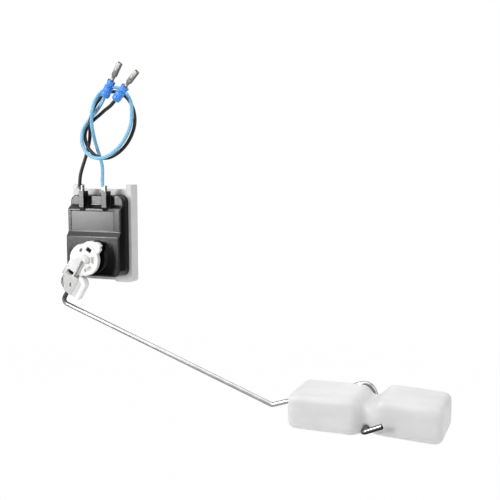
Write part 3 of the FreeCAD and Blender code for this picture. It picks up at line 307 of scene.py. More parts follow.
class SenderStageSettings(bpy.types.PropertyGroup):
    """Camera, lights and floor"""
    camera_place: FloatVectorProperty(name="Camera place", description="Where the camera stands", size=3,
                                      default=(0.205859, -0.331361, 0.041270), subtype="TRANSLATION",
                                      unit="LENGTH")
    camera_turn: angle("Camera turn", "Turn to the left of straight ahead", 21.575)
    camera_drop: angle("Camera drop", "Tilt below level", 5.705)
    camera_roll: angle("Camera roll", "Roll about the line of sight", 0.113)
    camera_lens: FloatProperty(name="Lens", description="Focal length in millimetres", default=57.65, min=10)
    floor_drop: length("Floor drop", "Floor below the object's lowest point", 45 * MM)
    key_power: power("Key power", "Tall strip light at the front left", 2.4)
    top_power: power("Top power", "Wide soft light overhead", 4.7)
    side_power: power("Side power", "Wide soft light at the right", 2.2)
    back_power: power("Back power", "Wide soft light behind", 2.0)
    edge_power: power("Edge power", "Thin light that only gloss shows", 4.0)
    room_light: FloatProperty(name="Room light", description="Even light from all round", default=0.21, min=0)


# Shader maths

class Value:
    """A shader socket. Arithmetic on it adds Math nodes."""

    def __init__(self, nodes, socket):
        self.nodes = nodes
        self.socket = socket

    def math(self, operation, first, second):
        node = self.nodes.add("ShaderNodeMath", {"operation": operation}, {0: first, 1: second})
        return Value(self.nodes, node.outputs[0])

    def __add__(self, other):
        return self.math("ADD", self, other)

    __radd__ = __add__

    def __sub__(self, other):
        return self.math("SUBTRACT", self, other)

    def __rsub__(self, other):
        return self.math("SUBTRACT", other, self)

    def __mul__(self, other):
        return self.math("MULTIPLY", self, other)

    __rmul__ = __mul__


class Nodes:
    """A tree of shader nodes that is being put together."""

    def __init__(self, tree):
        self.tree = tree

    def add(self, kind, settings=None, sockets=None):
        """Any node: its type, its settings, which are set first, and the values or links of its sockets."""
        node = self.tree.nodes.new(kind)
        for name, setting in (settings or {}).items():
            setattr(node, name, setting)
        for name, value in (sockets or {}).items():
            self.feed(node.inputs[name], value)
        return node

    def feed(self, socket, value):
        """Link a socket to a value, or set it."""
        if isinstance(value, Value):
            self.tree.links.new(value.socket, socket)
        elif isinstance(value, tuple) and socket.type == "RGBA":
            socket.default_value = (*value, 1.0)
        else:
            socket.default_value = value

    def seen(self):
        """1 where the camera, gloss or a clear piece shows the surface, and 0 for light that it throws."""
        path = self.add("ShaderNodeLightPath")
        seen = Value(self, path.outputs["Is Camera Ray"])
        for name in ("Is Glossy Ray", "Is Transmission Ray"):
            seen = seen.math("MAXIMUM", seen, Value(self, path.outputs[name]))
        return seen

    def mix_shaders(self, share, first, second):
        """A shader between the shaders of two nodes."""
        shaders = [Value(self, node.outputs[0]) for node in (first, second)]
        mix = self.add("ShaderNodeMixShader", None, {0: share, 1: shaders[0], 2: shaders[1]})
        return Value(self, mix.outputs[0])


class Finish(Nodes):
    """A material that is being put together."""

    def __init__(self, name):
        self.material = bpy.data.materials.new(name)
        self.material.use_nodes = True
        super().__init__(self.material.node_tree)
        self.surface = self.tree.nodes["Principled BSDF"]
        place = self.add("ShaderNodeTexCoord")
        self.place = Value(self, place.outputs["Object"])

    def noise(self, grain, detail, stretch=(1, 1, 1)):
        """Soft noise whose lumps are about a length across, from 0 to 1."""
        scale = self.add("ShaderNodeVectorMath", {"operation": "MULTIPLY"},
                         {0: self.place, 1: tuple(part / grain for part in stretch)})
        node = self.add("ShaderNodeTexNoise", None,
                        {"Vector": Value(self, scale.outputs[0]), "Scale": 1.0, "Detail": detail})
        return Value(self, node.outputs["Fac"])

    def axes(self):
        """The place along X, Y and Z, each as a value."""
        node = self.add("ShaderNodeSeparateXYZ", None, {0: self.place})
        return [Value(self, socket) for socket in node.outputs]

    def reach(self, axes):
        """The distance from the origin along some of the axes."""
        flat = self.add("ShaderNodeVectorMath", {"operation": "MULTIPLY"}, {0: self.place, 1: axes})
        node = self.add("ShaderNodeVectorMath", {"operation": "LENGTH"}, {0: Value(self, flat.outputs[0])})
        return Value(self, node.outputs["Value"])

    def from_pivot(self):
        """The distance from the arm's pivot axis."""
        return self.reach((1.0, 0.0, 1.0))

    def spread(self, value, low, high):
        """A value stretched so that low becomes 0 and high becomes 1."""
        node = self.add("ShaderNodeMapRange", {"interpolation_type": "SMOOTHSTEP"},
                        {"Value": value, "From Min": low, "From Max": high})
        return Value(self, node.outputs["Result"])

    def above(self, value, limit, blur):
        """1 above a limit and 0 below it."""
        return self.spread(value, limit - blur, limit + blur)

    def below(self, value, limit, blur):
        """1 below a limit and 0 above it."""
        return self.spread(value, limit + blur, limit - blur)

    def within(self, value, low, high, blur):
        """1 between two limits and 0 outside them."""
        return self.above(value, low, blur) * self.below(value, high, blur)

    def blend(self, share, first, second):
        """A colour between two colours."""
        node = self.add("ShaderNodeMix", {"data_type": "RGBA"}, {0: share, 6: first, 7: second})
        return Value(self, node.outputs[2])

    def mottled(self, pattern, shade, darker, lighter, low=0.3, high=0.7):
        """A colour that a pattern varies between a darker and a lighter tint."""
        return self.blend(self.spread(pattern, low, high), tint(shade, darker), tint(shade, lighter))

    def openness(self, reach):
        """1 on open surfaces, and less in corners and recesses."""
        node = self.add("ShaderNodeAmbientOcclusion", {"samples": 8}, {"Distance": reach})
        return Value(self, node.outputs["AO"])

    def bump(self, height, depth, strength):
        """The normal of a surface with a height on it."""
        node = self.add("ShaderNodeBump", None, {"Strength": strength, "Distance": depth, "Height": height})
        return Value(self, node.outputs["Normal"])

    def close(self, **sockets):
        """Set the surface's sockets, by their names with underscores for spaces."""
        for name, value in sockets.items():
            self.feed(self.surface.inputs[name.replace("_", " ")], value)
        return self.material


def tint(shade, factor):
    """A darker or lighter shade."""
    return tuple(min(1.0, part * factor) for part in shade)


# Finishes

def black_moulding(colours):
    """Spark-eroded black plastic with a satin sheen, smoother on the bare label field and beside the hub,
    where the hub's shade is painted darker.
    """
    finish = Finish("black_moulding")
    cloud = finish.noise(grain=4.0 * MM, detail=3.0)
    grain = finish.noise(grain=0.12 * MM, detail=2.0)
    x, _, z = finish.axes()
    label = finish.within(x, LABEL_LEFT, LABEL_RIGHT, LABEL_BLUR)
    label = label * finish.within(z, LABEL_LOW, LABEL_TOP, LABEL_BLUR)
    smooth_and_shaded = finish.below(finish.from_pivot(), SWEPT_SHADE_RADIUS, SWEPT_SHADE_BLUR)
    smooth_and_shaded = smooth_and_shaded * finish.above(x, SWEPT_SHADE_LEFT, SWEPT_SHADE_BLUR)
    smooth_and_shaded = smooth_and_shaded * finish.spread(z, SWEPT_SHADE_TOP, SWEPT_SHADE_TOP - SWEPT_SHADE_FADE)
    satin = 0.21 - 0.04 * label - 0.13 * smooth_and_shaded
    shade = finish.mottled(cloud, colours.black_plastic, darker=0.85, lighter=1.25)
    # painted shade: the hub's shadow on the housing beside the bearing, as a darker colour
    shade = finish.blend(smooth_and_shaded, shade, tint(colours.black_plastic, HUB_SHADE_TINT))
    return finish.close(Base_Color=shade, Roughness=satin + 0.02 * cloud + 0.02 * grain, IOR=1.38,
                        Normal=finish.bump(grain + label, depth=0.012 * MM, strength=0.5))


def white_moulding(name, shade, roughness, depth, translucency, corner_shade, raised_shade=1.0):
    """White moulded plastic that light enters a little, with shade painted greyer in its corners and
    recesses, on its raised front faces and on its clip.
    """
    finish = Finish(name)
    cloud = finish.noise(grain=5.0 * MM, detail=3.0)
    flow = finish.noise(grain=2.2 * MM, detail=2.0, stretch=(1.0, 1.0, 0.35))
    grain = finish.noise(grain=0.15 * MM, detail=1.0)
    y = finish.axes()[1]
    out = finish.from_pivot()
    sunk_shade = finish.within(out, RECESS_INNER, RECESS_OUTER, RECESS_BLUR)
    sunk_shade = sunk_shade * finish.within(y, RECESS_FRONT, RECESS_BACK, RECESS_BLUR)
    raised = finish.spread(y, RAISED_SHADE_FROM, RAISED_SHADE_TO)
    clip = raised * finish.spread(out, CLIP_FROM, CLIP_TO)
    base = finish.mottled(0.6 * cloud + 0.4 * flow, shade, darker=0.97, lighter=1.03, low=0.35, high=0.65)
    # painted shade on the floors of the disc's recesses
    base = finish.blend(sunk_shade, base, tint(shade, RECESS_SHADE_TINT))
    # painted shade on the raised front faces of the hood and clip
    base = finish.blend(raised * (0.6 + 0.4 * cloud), base, tint(shade, raised_shade))
    # painted shade, greyer still, on the clip
    base = finish.blend(clip, base, tint(shade, CLIP_SHADE_TINT * raised_shade))
    # painted shade in corners and recesses, greyer where the surface is less open
    base = finish.blend(finish.spread(finish.openness(3.0 * MM), 0.25, 0.90), tint(shade, corner_shade), base)
    return finish.close(Base_Color=base, Roughness=roughness + 0.10 * cloud + 0.05 * grain, IOR=1.48,
                        Subsurface_Weight=translucency, Subsurface_Radius=(depth,) * 3, Subsurface_Scale=1.0,
                        Normal=finish.bump(grain, depth=0.006 * MM, strength=0.3))


def float_skin(colours):
    """Foamed plastic with a smooth, slightly streaky skin, with shade painted greyer in its corners."""
    finish = Finish("float_skin")
    shade = colours.float_skin
    cloud = finish.noise(grain=9.0 * MM, detail=4.0)
    streak = finish.noise(grain=2.5 * MM, detail=3.0, stretch=(0.15, 1.0, 1.0))
    fine = finish.noise(grain=0.5 * MM, detail=2.0)
    base = finish.mottled(0.5 * cloud + 0.5 * streak, shade, darker=0.96, lighter=1.03, low=0.36, high=0.64)
    # painted shade in the float's corners and waist, greyer where the surface is less open
    base = finish.blend(finish.spread(finish.openness(5.0 * MM), 0.3, 0.95), tint(shade, 0.78), base)
    return finish.close(Base_Color=base, Roughness=0.42 + 0.12 * streak, IOR=1.45, Subsurface_Weight=0.3,
                        Subsurface_Radius=(2.0 * MM,) * 3, Subsurface_Scale=1.0,
                        Normal=finish.bump(0.75 * streak + 0.25 * fine, depth=0.05 * MM, strength=0.3))


def drawn_steel(colours):
    """Drawn spring wire, satin, with shade painted darker at the hub, a highlight painted on its flank in the
    slot, and its hook painted duller above and dark below as shade.
    """
    finish = Finish("drawn_steel")
    steel = colours.arm_steel
    cloud = finish.noise(grain=6.0 * MM, detail=3.0)
    scratch = finish.noise(grain=0.18 * MM, detail=2.0)
    x, y, z = finish.axes()
    out = finish.from_pivot()
    dark = finish.below(out, DARK_WIRE_END, DARK_WIRE_BLUR)
    outside = finish.above(out, DARK_WIRE_START, DARK_WIRE_BLUR)
    dark = dark * (DARK_WIRE_INSIDE + (1.0 - DARK_WIRE_INSIDE) * outside)
    right_of_lever = math.cos(LEVER_TILT) * x - math.sin(LEVER_TILT) * z
    flank_highlight = finish.spread(right_of_lever, FLANK_FROM, FLANK_TO) * finish.below(out, SLOT_END, SLOT_BLUR)
    over_hook = math.cos(HOOK_SLOPE) * (z - HOOK_PLACE.z) - math.sin(HOOK_SLOPE) * (x - HOOK_PLACE.x)
    hook_shade = finish.blend(finish.below(over_hook, 0.0, HOOK_BLUR), tint(steel, HOOK_TINT),
                         tint(steel, HOOK_UNDER_SHADE_TINT))
    shade = finish.mottled(cloud, steel, darker=0.9, lighter=1.1)
    # painted shade on the wire near the hub and in its slot
    shade = finish.blend(dark, shade, tint(steel, WIRE_SHADE_TINT))
    # painted highlight on the wire's right flank in the slot
    shade = finish.blend(flank_highlight, shade, tint(steel, FLANK_HIGHLIGHT_TINT))
    # painted on the hook: duller above its middle to tone down a highlight, and dark below it as shade
    shade = finish.blend(finish.below(y, HOOK_PLACE.y, HOOK_BLUR), shade, hook_shade)
    return finish.close(Base_Color=shade, Metallic=1.0, Roughness=0.24 + 0.08 * cloud + 0.05 * scratch,
                        Specular_Tint=(0.25, 0.25, 0.25),
                        Normal=finish.bump(scratch, depth=0.004 * MM, strength=0.3))


def sleeve(name, shade):
    """Smooth extruded insulation."""
    finish = Finish(name)
    cloud = finish.noise(grain=5.0 * MM, detail=2.0)
    wave = finish.noise(grain=2.5 * MM, detail=1.0)
    base = finish.mottled(cloud, shade, darker=0.93, lighter=1.07)
    return finish.close(Base_Color=base, Roughness=0.44 + 0.08 * cloud, IOR=1.36,
                        Normal=finish.bump(wave, depth=0.02 * MM, strength=0.2))


def seal_rubber(colours):
    """Glossy silicone that light enters."""
    finish = Finish("seal_rubber")
    cloud = finish.noise(grain=1.6 * MM, detail=0.0)
    base = finish.mottled(cloud, colours.seal_rubber, darker=0.88, lighter=1.12)
    return finish.close(Base_Color=base, Roughness=0.36 + 0.08 * cloud, IOR=1.41, Subsurface_Weight=0.08,
                        Subsurface_Radius=(0.3 * MM, 0.6 * MM, 1.2 * MM), Subsurface_Scale=1.0,
                        Normal=finish.bump(cloud, depth=0.02 * MM, strength=0.2))


def plated_strip(name, shade, roughness):
    """Rolled and plated sheet metal."""
    finish = Finish(name)
    cloud = finish.noise(grain=1.5 * MM, detail=3.0)
    roll = finish.noise(grain=0.12 * MM, detail=2.0, stretch=(1.0, 1.0, 0.15))
    base = finish.mottled(cloud, shade, darker=0.82, lighter=1.12)
    return finish.close(Base_Color=base, Metallic=1.0, Roughness=roughness + 0.15 * cloud + 0.06 * roll,
                        Specular_Tint=(0.3, 0.3, 0.3),
                        Normal=finish.bump(roll, depth=0.006 * MM, strength=0.5))


def matt_layer(name, shade, roughness, speck, shine=0.5):
    """A fired, printed or ground surface with fine specks."""
    finish = Finish(name)
    cloud = finish.noise(grain=2.0 * MM, detail=3.0)
    dots = finish.noise(grain=speck, detail=2.0)
    base = finish.mottled(dots, shade, darker=0.85, lighter=1.15, low=0.35, high=0.65)
    return finish.close(Base_Color=base, Roughness=roughness + 0.15 * cloud, Specular_IOR_Level=shine,
                        Normal=finish.bump(dots, depth=0.01 * MM, strength=0.5))


# Pieces

def groups(context):
    """The groups of sizes, colours and stage settings."""
    scene = context.scene
    return scene.sender_leads, scene.sender_moulds, scene.sender_colours, scene.sender_stage


def dress(node, material, edge=0.0, segments=2, sharper_than=40, clamped=True, merged=True):
    """Give a CAD node its finish and, where its edges are sharp, a small rounding."""
    obj = NODES[node]
    obj.data.materials.clear()
    obj.data.materials.append(material)
    if edge:
        weld = obj.modifiers.new("join_faces", "WELD")
        weld.merge_threshold = JOIN_REACH
        if merged:
            flat = obj.modifiers.new("flat_faces", "DECIMATE")
            flat.decimate_type = "DISSOLVE"
            flat.angle_limit = FLAT_WITHIN
        bevel = obj.modifiers.new("soft_edges", "BEVEL")
        bevel.width = edge
        bevel.segments = segments
        bevel.limit_method = "ANGLE"
        bevel.angle_limit = math.radians(sharper_than)
        bevel.use_clamp_overlap = clamped
        bevel.harden_normals = True


def new_piece(name, mesh, material, body, replaced):
    """A mesh of its own that rides on a body and stands for a CAD node."""
    mesh.materials.clear()
    mesh.materials.append(material)
    mesh.polygons.foreach_set("use_smooth", [True] * len(mesh.polygons))
    obj = bpy.data.objects.new(name, mesh)
    bpy.context.scene.collection.objects.link(obj)
    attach(obj, body)
    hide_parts(replaced)


def skin(bm, rings):
    """Faces between rings of vertices, with a cap at each end."""
    count = len(rings[0])
    for first, second in zip(rings, rings[1:]):
        for i in range(count):
            j = (i + 1) % count
            bm.faces.new((first[i], first[j], second[j], second[i]))
    bm.faces.new(list(reversed(rings[0])))
    bm.faces.new(rings[-1])


def lathe(bm, profile, place, sides=48):
    """A closed turned body: profile holds (radius, distance along the axis)."""
    rings = []
    for radius, along in profile:
        ring = []
        for i in range(sides):
            turn = 2 * math.pi * i / sides
            point = Vector((radius * math.cos(turn), radius * math.sin(turn), along))
            ring.append(bm.verts.new(place @ point))
        rings.append(ring)
    skin(bm, rings)


def rounded_square(half_x, half_y, corner, steps=4):
    """Points round a square with rounded corners."""
    points = []
    for quarter in range(4):
        sign_x = 1 if quarter in (0, 3) else -1
        sign_y = 1 if quarter in (0, 1) else -1
        for step in range(steps + 1):
            turn = math.pi / 2 * (quarter + step / steps)
            points.append((sign_x * (half_x - corner) + corner * math.cos(turn),
                           sign_y * (half_y - corner) + corner * math.sin(turn)))
    return points


def square_loft(bm, sections, place):
    """A closed skin through rounded squares: sections hold (along, half x, half y, corner radius)."""
    rings = []
    for along, half_x, half_y, corner in sections:
        rings.append([bm.verts.new(place @ Vector((x, y, along)))
                      for x, y in rounded_square(half_x, half_y, corner)])
    skin(bm, rings)


def finished_mesh(bm, name):
    """A mesh from a bmesh, with its faces turned outwards."""
    bmesh.ops.recalc_face_normals(bm, faces=bm.faces)
    mesh = bpy.data.meshes.new(name)
    bm.to_mesh(mesh)
    bm.free()
    return mesh


def end_frame(route):
    """The frame at a lead's far end, with Z along the lead."""
    end = Vector(route[-1])
    along = (end - Vector(route[-2])).normalized()
    return Matrix.Translation(end) @ Vector((0, 0, 1)).rotation_difference(along).to_matrix().to_4x4()


class SENDER_OT_leads(bpy.types.Operator):
    """Make the two insulated leads along their knotted routes"""
    bl_idname = "sender.leads"
    bl_label = "Leads"

    def execute(self, context):
        sizes, _, colours, _ = groups(context)
        for name, shade in (("black", colours.black_sleeve), ("blue", colours.blue_sleeve)):
            route = LEAD_ROUTES[name]
            curve = self.line(f"{name}_lead_line", route, sizes.lead_diameter / 2)
            curve.materials.append(sleeve(f"{name}_sleeve", shade))
            lead = bpy.data.objects.new(f"{name}_lead_sleeve", curve)
            context.scene.collection.objects.link(lead)
            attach(lead, "sensor")
            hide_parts(f"{name}_lead")
        return {"FINISHED"}

    def line(self, name, route, radius):
        """One smooth round line past the points of a route."""
        curve = bpy.data.curves.new(name, "CURVE")
        curve.dimensions = "3D"
        curve.bevel_depth = radius
        curve.bevel_resolution = LEAD_SIDES
        curve.resolution_u = LEAD_STEPS
        curve.use_fill_caps = True
        spline = curve.splines.new("NURBS")
        spline.points.add(len(route) - 1)
        for point, place in zip(spline.points, route):
            point.co = (*place, 1.0)
        spline.order_u = 3
        spline.use_endpoint_u = True
        return curve


class SENDER_OT_seals(bpy.types.Operator):
    """Make the ribbed rubber seals on the leads' ends"""
    bl_idname = "sender.seals"
    bl_label = "Seals"

    def execute(self, context):
        sizes, _, colours, _ = groups(context)
        material = seal_rubber(colours)
        for name, route in LEAD_ROUTES.items():
            piece = f"{name}_seal_ribbed"
            bm = bmesh.new()
            lathe(bm, self.profile(sizes), end_frame(route))
            mesh = finished_mesh(bm, piece)
            new_piece(piece, mesh, material, "sensor", f"{name}_lead_seal")
        return {"FINISHED"}

    def profile(self, sizes):
        """Radius and distance along a seal: a tail, a ribbed body, a groove and a front ring."""
        start, end = SEAL_BODY
        body = []
        for i in range(SEAL_STEPS + 1):
            share = i / SEAL_STEPS
            valley = (1 + math.cos(2 * math.pi * SEAL_RIBS * share)) / 2
            body.append((1.0 - SEAL_RIB_DEPTH * valley, start + share * (end - start)))
        return [(radius * sizes.seal_radius, along * sizes.seal_length)
                for radius, along in (*SEAL_TAIL, *body, *SEAL_FRONT)]


class SENDER_OT_contacts(bpy.types.Operator):
    """Make the folded socket contacts with their crimps"""
    bl_idname = "sender.contacts"
    bl_label = "Contacts"

    def execute(self, context):
        sizes, _, colours, _ = groups(context)
        material = plated_strip("tinned_contact", tint(colours.tin, CONTACT_TINT), roughness=0.46)
        for name, route in LEAD_ROUTES.items():
            piece = f"{name}_contact_folded"
            place = end_frame(route) @ Matrix.Translation((0, 0, sizes.seal_length))
            bm = bmesh.new()
            self.socket(bm, sizes, place)
            self.tongues(bm, sizes, place)
            self.wings(bm, sizes, place)
            mesh = finished_mesh(bm, piece)
            new_piece(piece, mesh, material, "sensor", f"{name}_lead_contact")
        return {"FINISHED"}

    def socket(self, bm, sizes, place):
        """Crimped neck and square socket in one skin that turns inwards at the open tip."""
        neck = sizes.crimp_width / 2
        half = sizes.socket_width / 2
        inner = half - sizes.sheet_thickness
        corner = SOCKET_CORNER * half
        ends = (sizes.crimp_length, sizes.crimp_length + sizes.socket_length)
        sections = [(share * sizes.crimp_length, width * neck, height * neck, rounding * neck)
                    for share, width, height, rounding in NECK_SECTIONS]
        for rows, side, rounding in ((SOCKET_OUTSIDE, half, corner), (SOCKET_INSIDE, inner, corner / 2)):
            sections += [(ends[end] + shift * half, share * side, share * side, rounding)
                         for end, shift, share in rows]
        square_loft(bm, sections, place)

    def tongues(self, bm, sizes, place):
        """Locking tongue that stands out of one side of the socket, and a raised pad on the other."""
        half = sizes.socket_width / 2
        for turn, start, end, lift in TONGUES:
            turned = place @ Matrix.Rotation(turn, 4, "Z") @ Matrix.Translation((0, -half, 0))
            rows = ((start, *TONGUE_ENDS),
                    (start + TONGUE_RISE, TONGUE_WIDTH, lift, TONGUE_FRONT_CORNER),
                    (end - TONGUE_FALL, TONGUE_WIDTH, TONGUE_SLOPE * lift, TONGUE_BACK_CORNER),
                    (end, *TONGUE_ENDS))
            square_loft(bm, [(sizes.crimp_length + share * sizes.socket_length, width * half, height * half,
                              rounding * half) for share, width, height, rounding in rows], turned)

    def wings(self, bm, sizes, place):
        """Two wings of the contact that are rolled round the front ring of the seal."""
        inside = WING_RADIUS * sizes.seal_radius
        outside = inside + WING_THICKNESS * sizes.sheet_thickness
        back = WING_BACK * sizes.seal_length
        front = WING_FRONT * sizes.seal_length
        corners = ((inside, back), (outside, back), (outside, front), (inside, front))
        for side in (0.0, math.pi):
            rings = []
            for i in range(WING_STEPS + 1):
                turn = side + WING_SPREAD * (i / WING_STEPS - 0.5)
                ray = Vector((math.cos(turn), math.sin(turn), 0))
                rings.append([bm.verts.new(place @ (radius * ray + Vector((0, 0, along))))
                              for radius, along in corners])
            skin(bm, rings)


class SENDER_OT_housing(bpy.types.Operator):
    """Finish the black housing, its back cover and the white mounting plate"""
    bl_idname = "sender.housing"
    bl_label = "Housing and plate"

    def execute(self, context):
        _, moulds, colours, _ = groups(context)
        black = black_moulding(colours)
        white = white_moulding("plate_moulding", colours.plate_plastic, roughness=0.42, depth=1.5 * MM,
                               translucency=0.15, corner_shade=0.68)
        dress("sensor_housing", black, moulds.housing_edge, segments=3, sharper_than=22, clamped=False)
        dress("housing_back_cover", black, moulds.housing_edge)
        dress("mounting_plate", white, moulds.plate_edge, merged=False)
        return {"FINISHED"}


class SENDER_OT_inside(bpy.types.Operator):
    """Finish the sensor stack inside the housing"""
    bl_idname = "sender.inside"
    bl_label = "Sensor stack"

    def execute(self, context):
        colours = groups(context)[2]
        dress("resistor_card", matt_layer("fired_ceramic", colours.ceramic, roughness=0.6, speck=0.15 * MM))
        dress("resistor_track", matt_layer("resistor_ink", colours.resist, roughness=0.5, speck=0.05 * MM))
        dress("spacer_strip", matt_layer("amber_film", colours.film, roughness=0.3, speck=0.4 * MM))
        dress("contact_comb", plated_strip("comb_foil", colours.foil, roughness=0.2))
        dress("sensor_lid", plated_strip("lid_sheet", colours.lid, roughness=0.3))
        return {"FINISHED"}


class SENDER_OT_terminals(bpy.types.Operator):
    """Finish the terminals, the solder and the welded ends of the leads"""
    bl_idname = "sender.terminals"
    bl_label = "Terminals"

    def execute(self, context):
        _, moulds, colours, _ = groups(context)
        strip = plated_strip("tinned_strip", colours.tin, roughness=0.36)
        for node in ("ground_terminal", "signal_terminal"):
            dress(node, strip, moulds.strip_edge)
        # painted light: the same tin, darker as shade on one weld and lighter as a highlight on the other
        for node, factor in WELD_LIGHT_AND_SHADE_TINTS.items():
            weld = plated_strip(f"{node}_weld", tint(colours.tin, factor), roughness=0.45)
            dress(node, weld, 3 * moulds.strip_edge, segments=3)
        solder = plated_strip("solder", colours.tin, roughness=0.15)
        dress("solder_joints", solder, 2 * moulds.strip_edge, segments=3)
        return {"FINISHED"}


class SENDER_OT_hub(bpy.types.Operator):
    """Finish the white hub and its magnet"""
    bl_idname = "sender.hub"
    bl_label = "Arm hub"

    def execute(self, context):
        _, moulds, colours, _ = groups(context)
        white = white_moulding("hub_moulding", colours.hub_plastic, roughness=0.34, depth=1.5 * MM,
                               translucency=0.4, corner_shade=0.80, raised_shade=0.80)
        magnet = matt_layer("ground_magnet", colours.magnet, roughness=0.45, speck=0.1 * MM, shine=0.08)
        dress("arm_hub", white, moulds.hub_edge, segments=3)
        dress("hub_magnet", magnet, moulds.strip_edge)
        return {"FINISHED"}


class SENDER_OT_arm(bpy.types.Operator):
    """Finish the bent wire arm"""
    bl_idname = "sender.arm"
    bl_label = "Wire arm"

    def execute(self, context):
        dress("float_arm", drawn_steel(groups(context)[2]))
        return {"FINISHED"}


class SENDER_OT_float(bpy.types.Operator):
    """Make the float's soft moulded skin on a fine grid"""
    bl_idname = "sender.float"
    bl_label = "Float"

    def execute(self, context):
        _, moulds, colours, _ = groups(context)
        rough = bpy.data.objects.new("float_rough", NODES["float"].data.copy())
        context.scene.collection.objects.link(rough)
        remesh = rough.modifiers.new("even_skin", "REMESH")
        remesh.mode = "VOXEL"
        remesh.voxel_size = moulds.float_voxel
        smooth = rough.modifiers.new("soft_skin", "SMOOTH")
        smooth.factor = 0.5
        smooth.iterations = moulds.float_smoothing
        graph = context.evaluated_depsgraph_get()
        mesh = bpy.data.meshes.new_from_object(rough.evaluated_get(graph), depsgraph=graph)
        bpy.data.objects.remove(rough)
        new_piece("float_skin", mesh, float_skin(colours), "float", "float")
        return {"FINISHED"}


# Stage

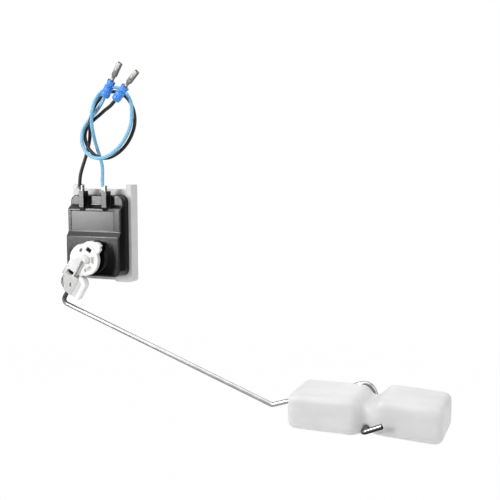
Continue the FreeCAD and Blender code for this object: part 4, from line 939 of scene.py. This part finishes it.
class SENDER_OT_stage(bpy.types.Operator):
    """Make the floor, the lights, the room and the camera"""
    bl_idname = "sender.stage"
    bl_label = "Stage"

    def execute(self, context):
        stage = groups(context)[3]
        self.floor(context, stage)
        self.lights(context, stage)
        self.flags(context)
        self.room(context, stage)
        self.camera(context, stage)
        context.scene.view_settings.view_transform = "Standard"
        return {"FINISHED"}

    def sheet(self, context, name, material, half_side, segments):
        """A flat square of the stage."""
        bm = bmesh.new()
        bmesh.ops.create_grid(bm, x_segments=segments, y_segments=segments, size=half_side)
        mesh = finished_mesh(bm, name)
        mesh.materials.append(material)
        obj = bpy.data.objects.new(name, mesh)
        context.scene.collection.objects.link(obj)
        return obj

    def floor(self, context, stage):
        """A pale floor that looks white and keeps the object's shadow."""
        finish = Finish("pale_floor")
        cloud = finish.noise(grain=60 * MM, detail=2.0)
        finish.close(Base_Color=finish.blend(cloud, (0.80, 0.80, 0.80), (0.84, 0.84, 0.84)), Roughness=0.9)
        far = finish.spread(finish.reach((1.0, 1.0, 0.0)), GLOW_FROM, GLOW_TO)
        glow = finish.add("ShaderNodeEmission", None, {"Color": WHITE, "Strength": 1.0})
        share = finish.seen() * (FLOOR_GLOW + (1.0 - FLOOR_GLOW) * far)
        output = finish.tree.nodes["Material Output"]
        finish.feed(output.inputs["Surface"], finish.mix_shaders(share, finish.surface, glow))
        floor = self.sheet(context, "floor", finish.material, half_side=FLOOR_HALF, segments=8)
        floor.location = (FLOOR_X, 0.0, CAD_BOX[0].z - stage.floor_drop)

    def lights(self, context, stage):
        """Soft panels, and a thin one that only gloss shows."""
        for name, panel in LAMPS.items():
            side = name.split("_")[0]
            light = bpy.data.lights.new(name, "AREA")
            light.shape = "RECTANGLE"
            light.size, light.size_y = panel.size
            light.energy = getattr(stage, f"{side}_power")
            lamp = bpy.data.objects.new(name, light)
            self.face(lamp, panel)
            lamp.visible_diffuse = side != "edge"
            context.scene.collection.objects.link(lamp)

    def flags(self, context):
        """Dark cards that only reflections show: low at the front left, and at the back right."""
        finish = Finish("flag_felt")
        fibre = finish.noise(grain=2 * MM, detail=3.0)
        felt = finish.blend(fibre, (0.004, 0.004, 0.004), (0.010, 0.010, 0.010))
        material = finish.close(Base_Color=felt, Roughness=1.0)
        for name, panel in FLAGS.items():
            card = self.sheet(context, name, material, half_side=0.5, segments=2)
            card.scale = (*panel.size, 1.0)
            self.face(card, panel)
            card.visible_camera = False
            card.visible_diffuse = False
            card.visible_shadow = False

    def face(self, obj, panel):
        """Turn a panel to its target. Azimuth 0 is straight in front, negative to the left."""
        turn, rise = math.radians(panel.azimuth), math.radians(panel.elevation)
        away = Vector((math.sin(turn) * math.cos(rise), -math.cos(turn) * math.cos(rise), math.sin(rise)))
        obj.location = panel.target + panel.distance * away
        obj.rotation_euler = away.to_track_quat("Z", "Y").to_euler()

    def room(self, context, stage):
        """Even light from all round, and white wherever the room is seen."""
        world = bpy.data.worlds.new("studio_room")
        context.scene.world = world
        world.use_nodes = True
        world.node_tree.nodes.clear()
        nodes = Nodes(world.node_tree)
        even, white = [nodes.add("ShaderNodeBackground", None, {"Color": WHITE, "Strength": strength})
                       for strength in (stage.room_light, 1.0)]
        nodes.add("ShaderNodeOutputWorld", None, {"Surface": nodes.mix_shaders(nodes.seen(), even, white)})

    def camera(self, context, stage):
        """The camera, in front of the sender and to its right."""
        data = bpy.data.cameras.new("photo_camera")
        data.sensor_width = 36.0
        data.lens = stage.camera_lens
        data.clip_start = 0.01
        camera = bpy.data.objects.new("photo_camera", data)
        camera.location = stage.camera_place
        camera.rotation_euler = (math.pi / 2 - stage.camera_drop, -stage.camera_roll, stage.camera_turn)
        context.scene.collection.objects.link(camera)
        context.scene.camera = camera


class SENDER_PT_panel(bpy.types.Panel):
    """Lists what dresses the sender"""
    bl_idname = "SENDER_PT_panel"
    bl_label = "Fuel level sender"
    bl_space_type = "VIEW_3D"
    bl_region_type = "UI"
    bl_category = "Sender"

    def draw(self, context):
        for operator in OPERATORS:
            self.layout.operator(operator.bl_idname)
        for group in groups(context):
            box = self.layout.box()
            for name in group.bl_rna.properties.keys():
                if name not in ("rna_type", "name"):
                    box.prop(group, name)


OPERATORS = (SENDER_OT_housing, SENDER_OT_inside, SENDER_OT_terminals, SENDER_OT_seals, SENDER_OT_contacts,
             SENDER_OT_leads, SENDER_OT_hub, SENDER_OT_arm, SENDER_OT_float, SENDER_OT_stage)
GROUPS = {"sender_leads": SenderLeadSizes, "sender_moulds": SenderMouldSizes, "sender_colours": SenderColours,
          "sender_stage": SenderStageSettings}
CLASSES = (*GROUPS.values(), *OPERATORS, SENDER_PT_panel)


def register():
    for item in CLASSES:
        bpy.utils.register_class(item)
    for name, group in GROUPS.items():
        setattr(bpy.types.Scene, name, PointerProperty(type=group))


def unregister():
    for name in GROUPS:
        delattr(bpy.types.Scene, name)
    for item in reversed(CLASSES):
        bpy.utils.unregister_class(item)


def main():
    register()
    for operator in OPERATORS:
        group, name = operator.bl_idname.split(".")
        getattr(getattr(bpy.ops, group), name)()


if __name__ == "__main__":
    main()
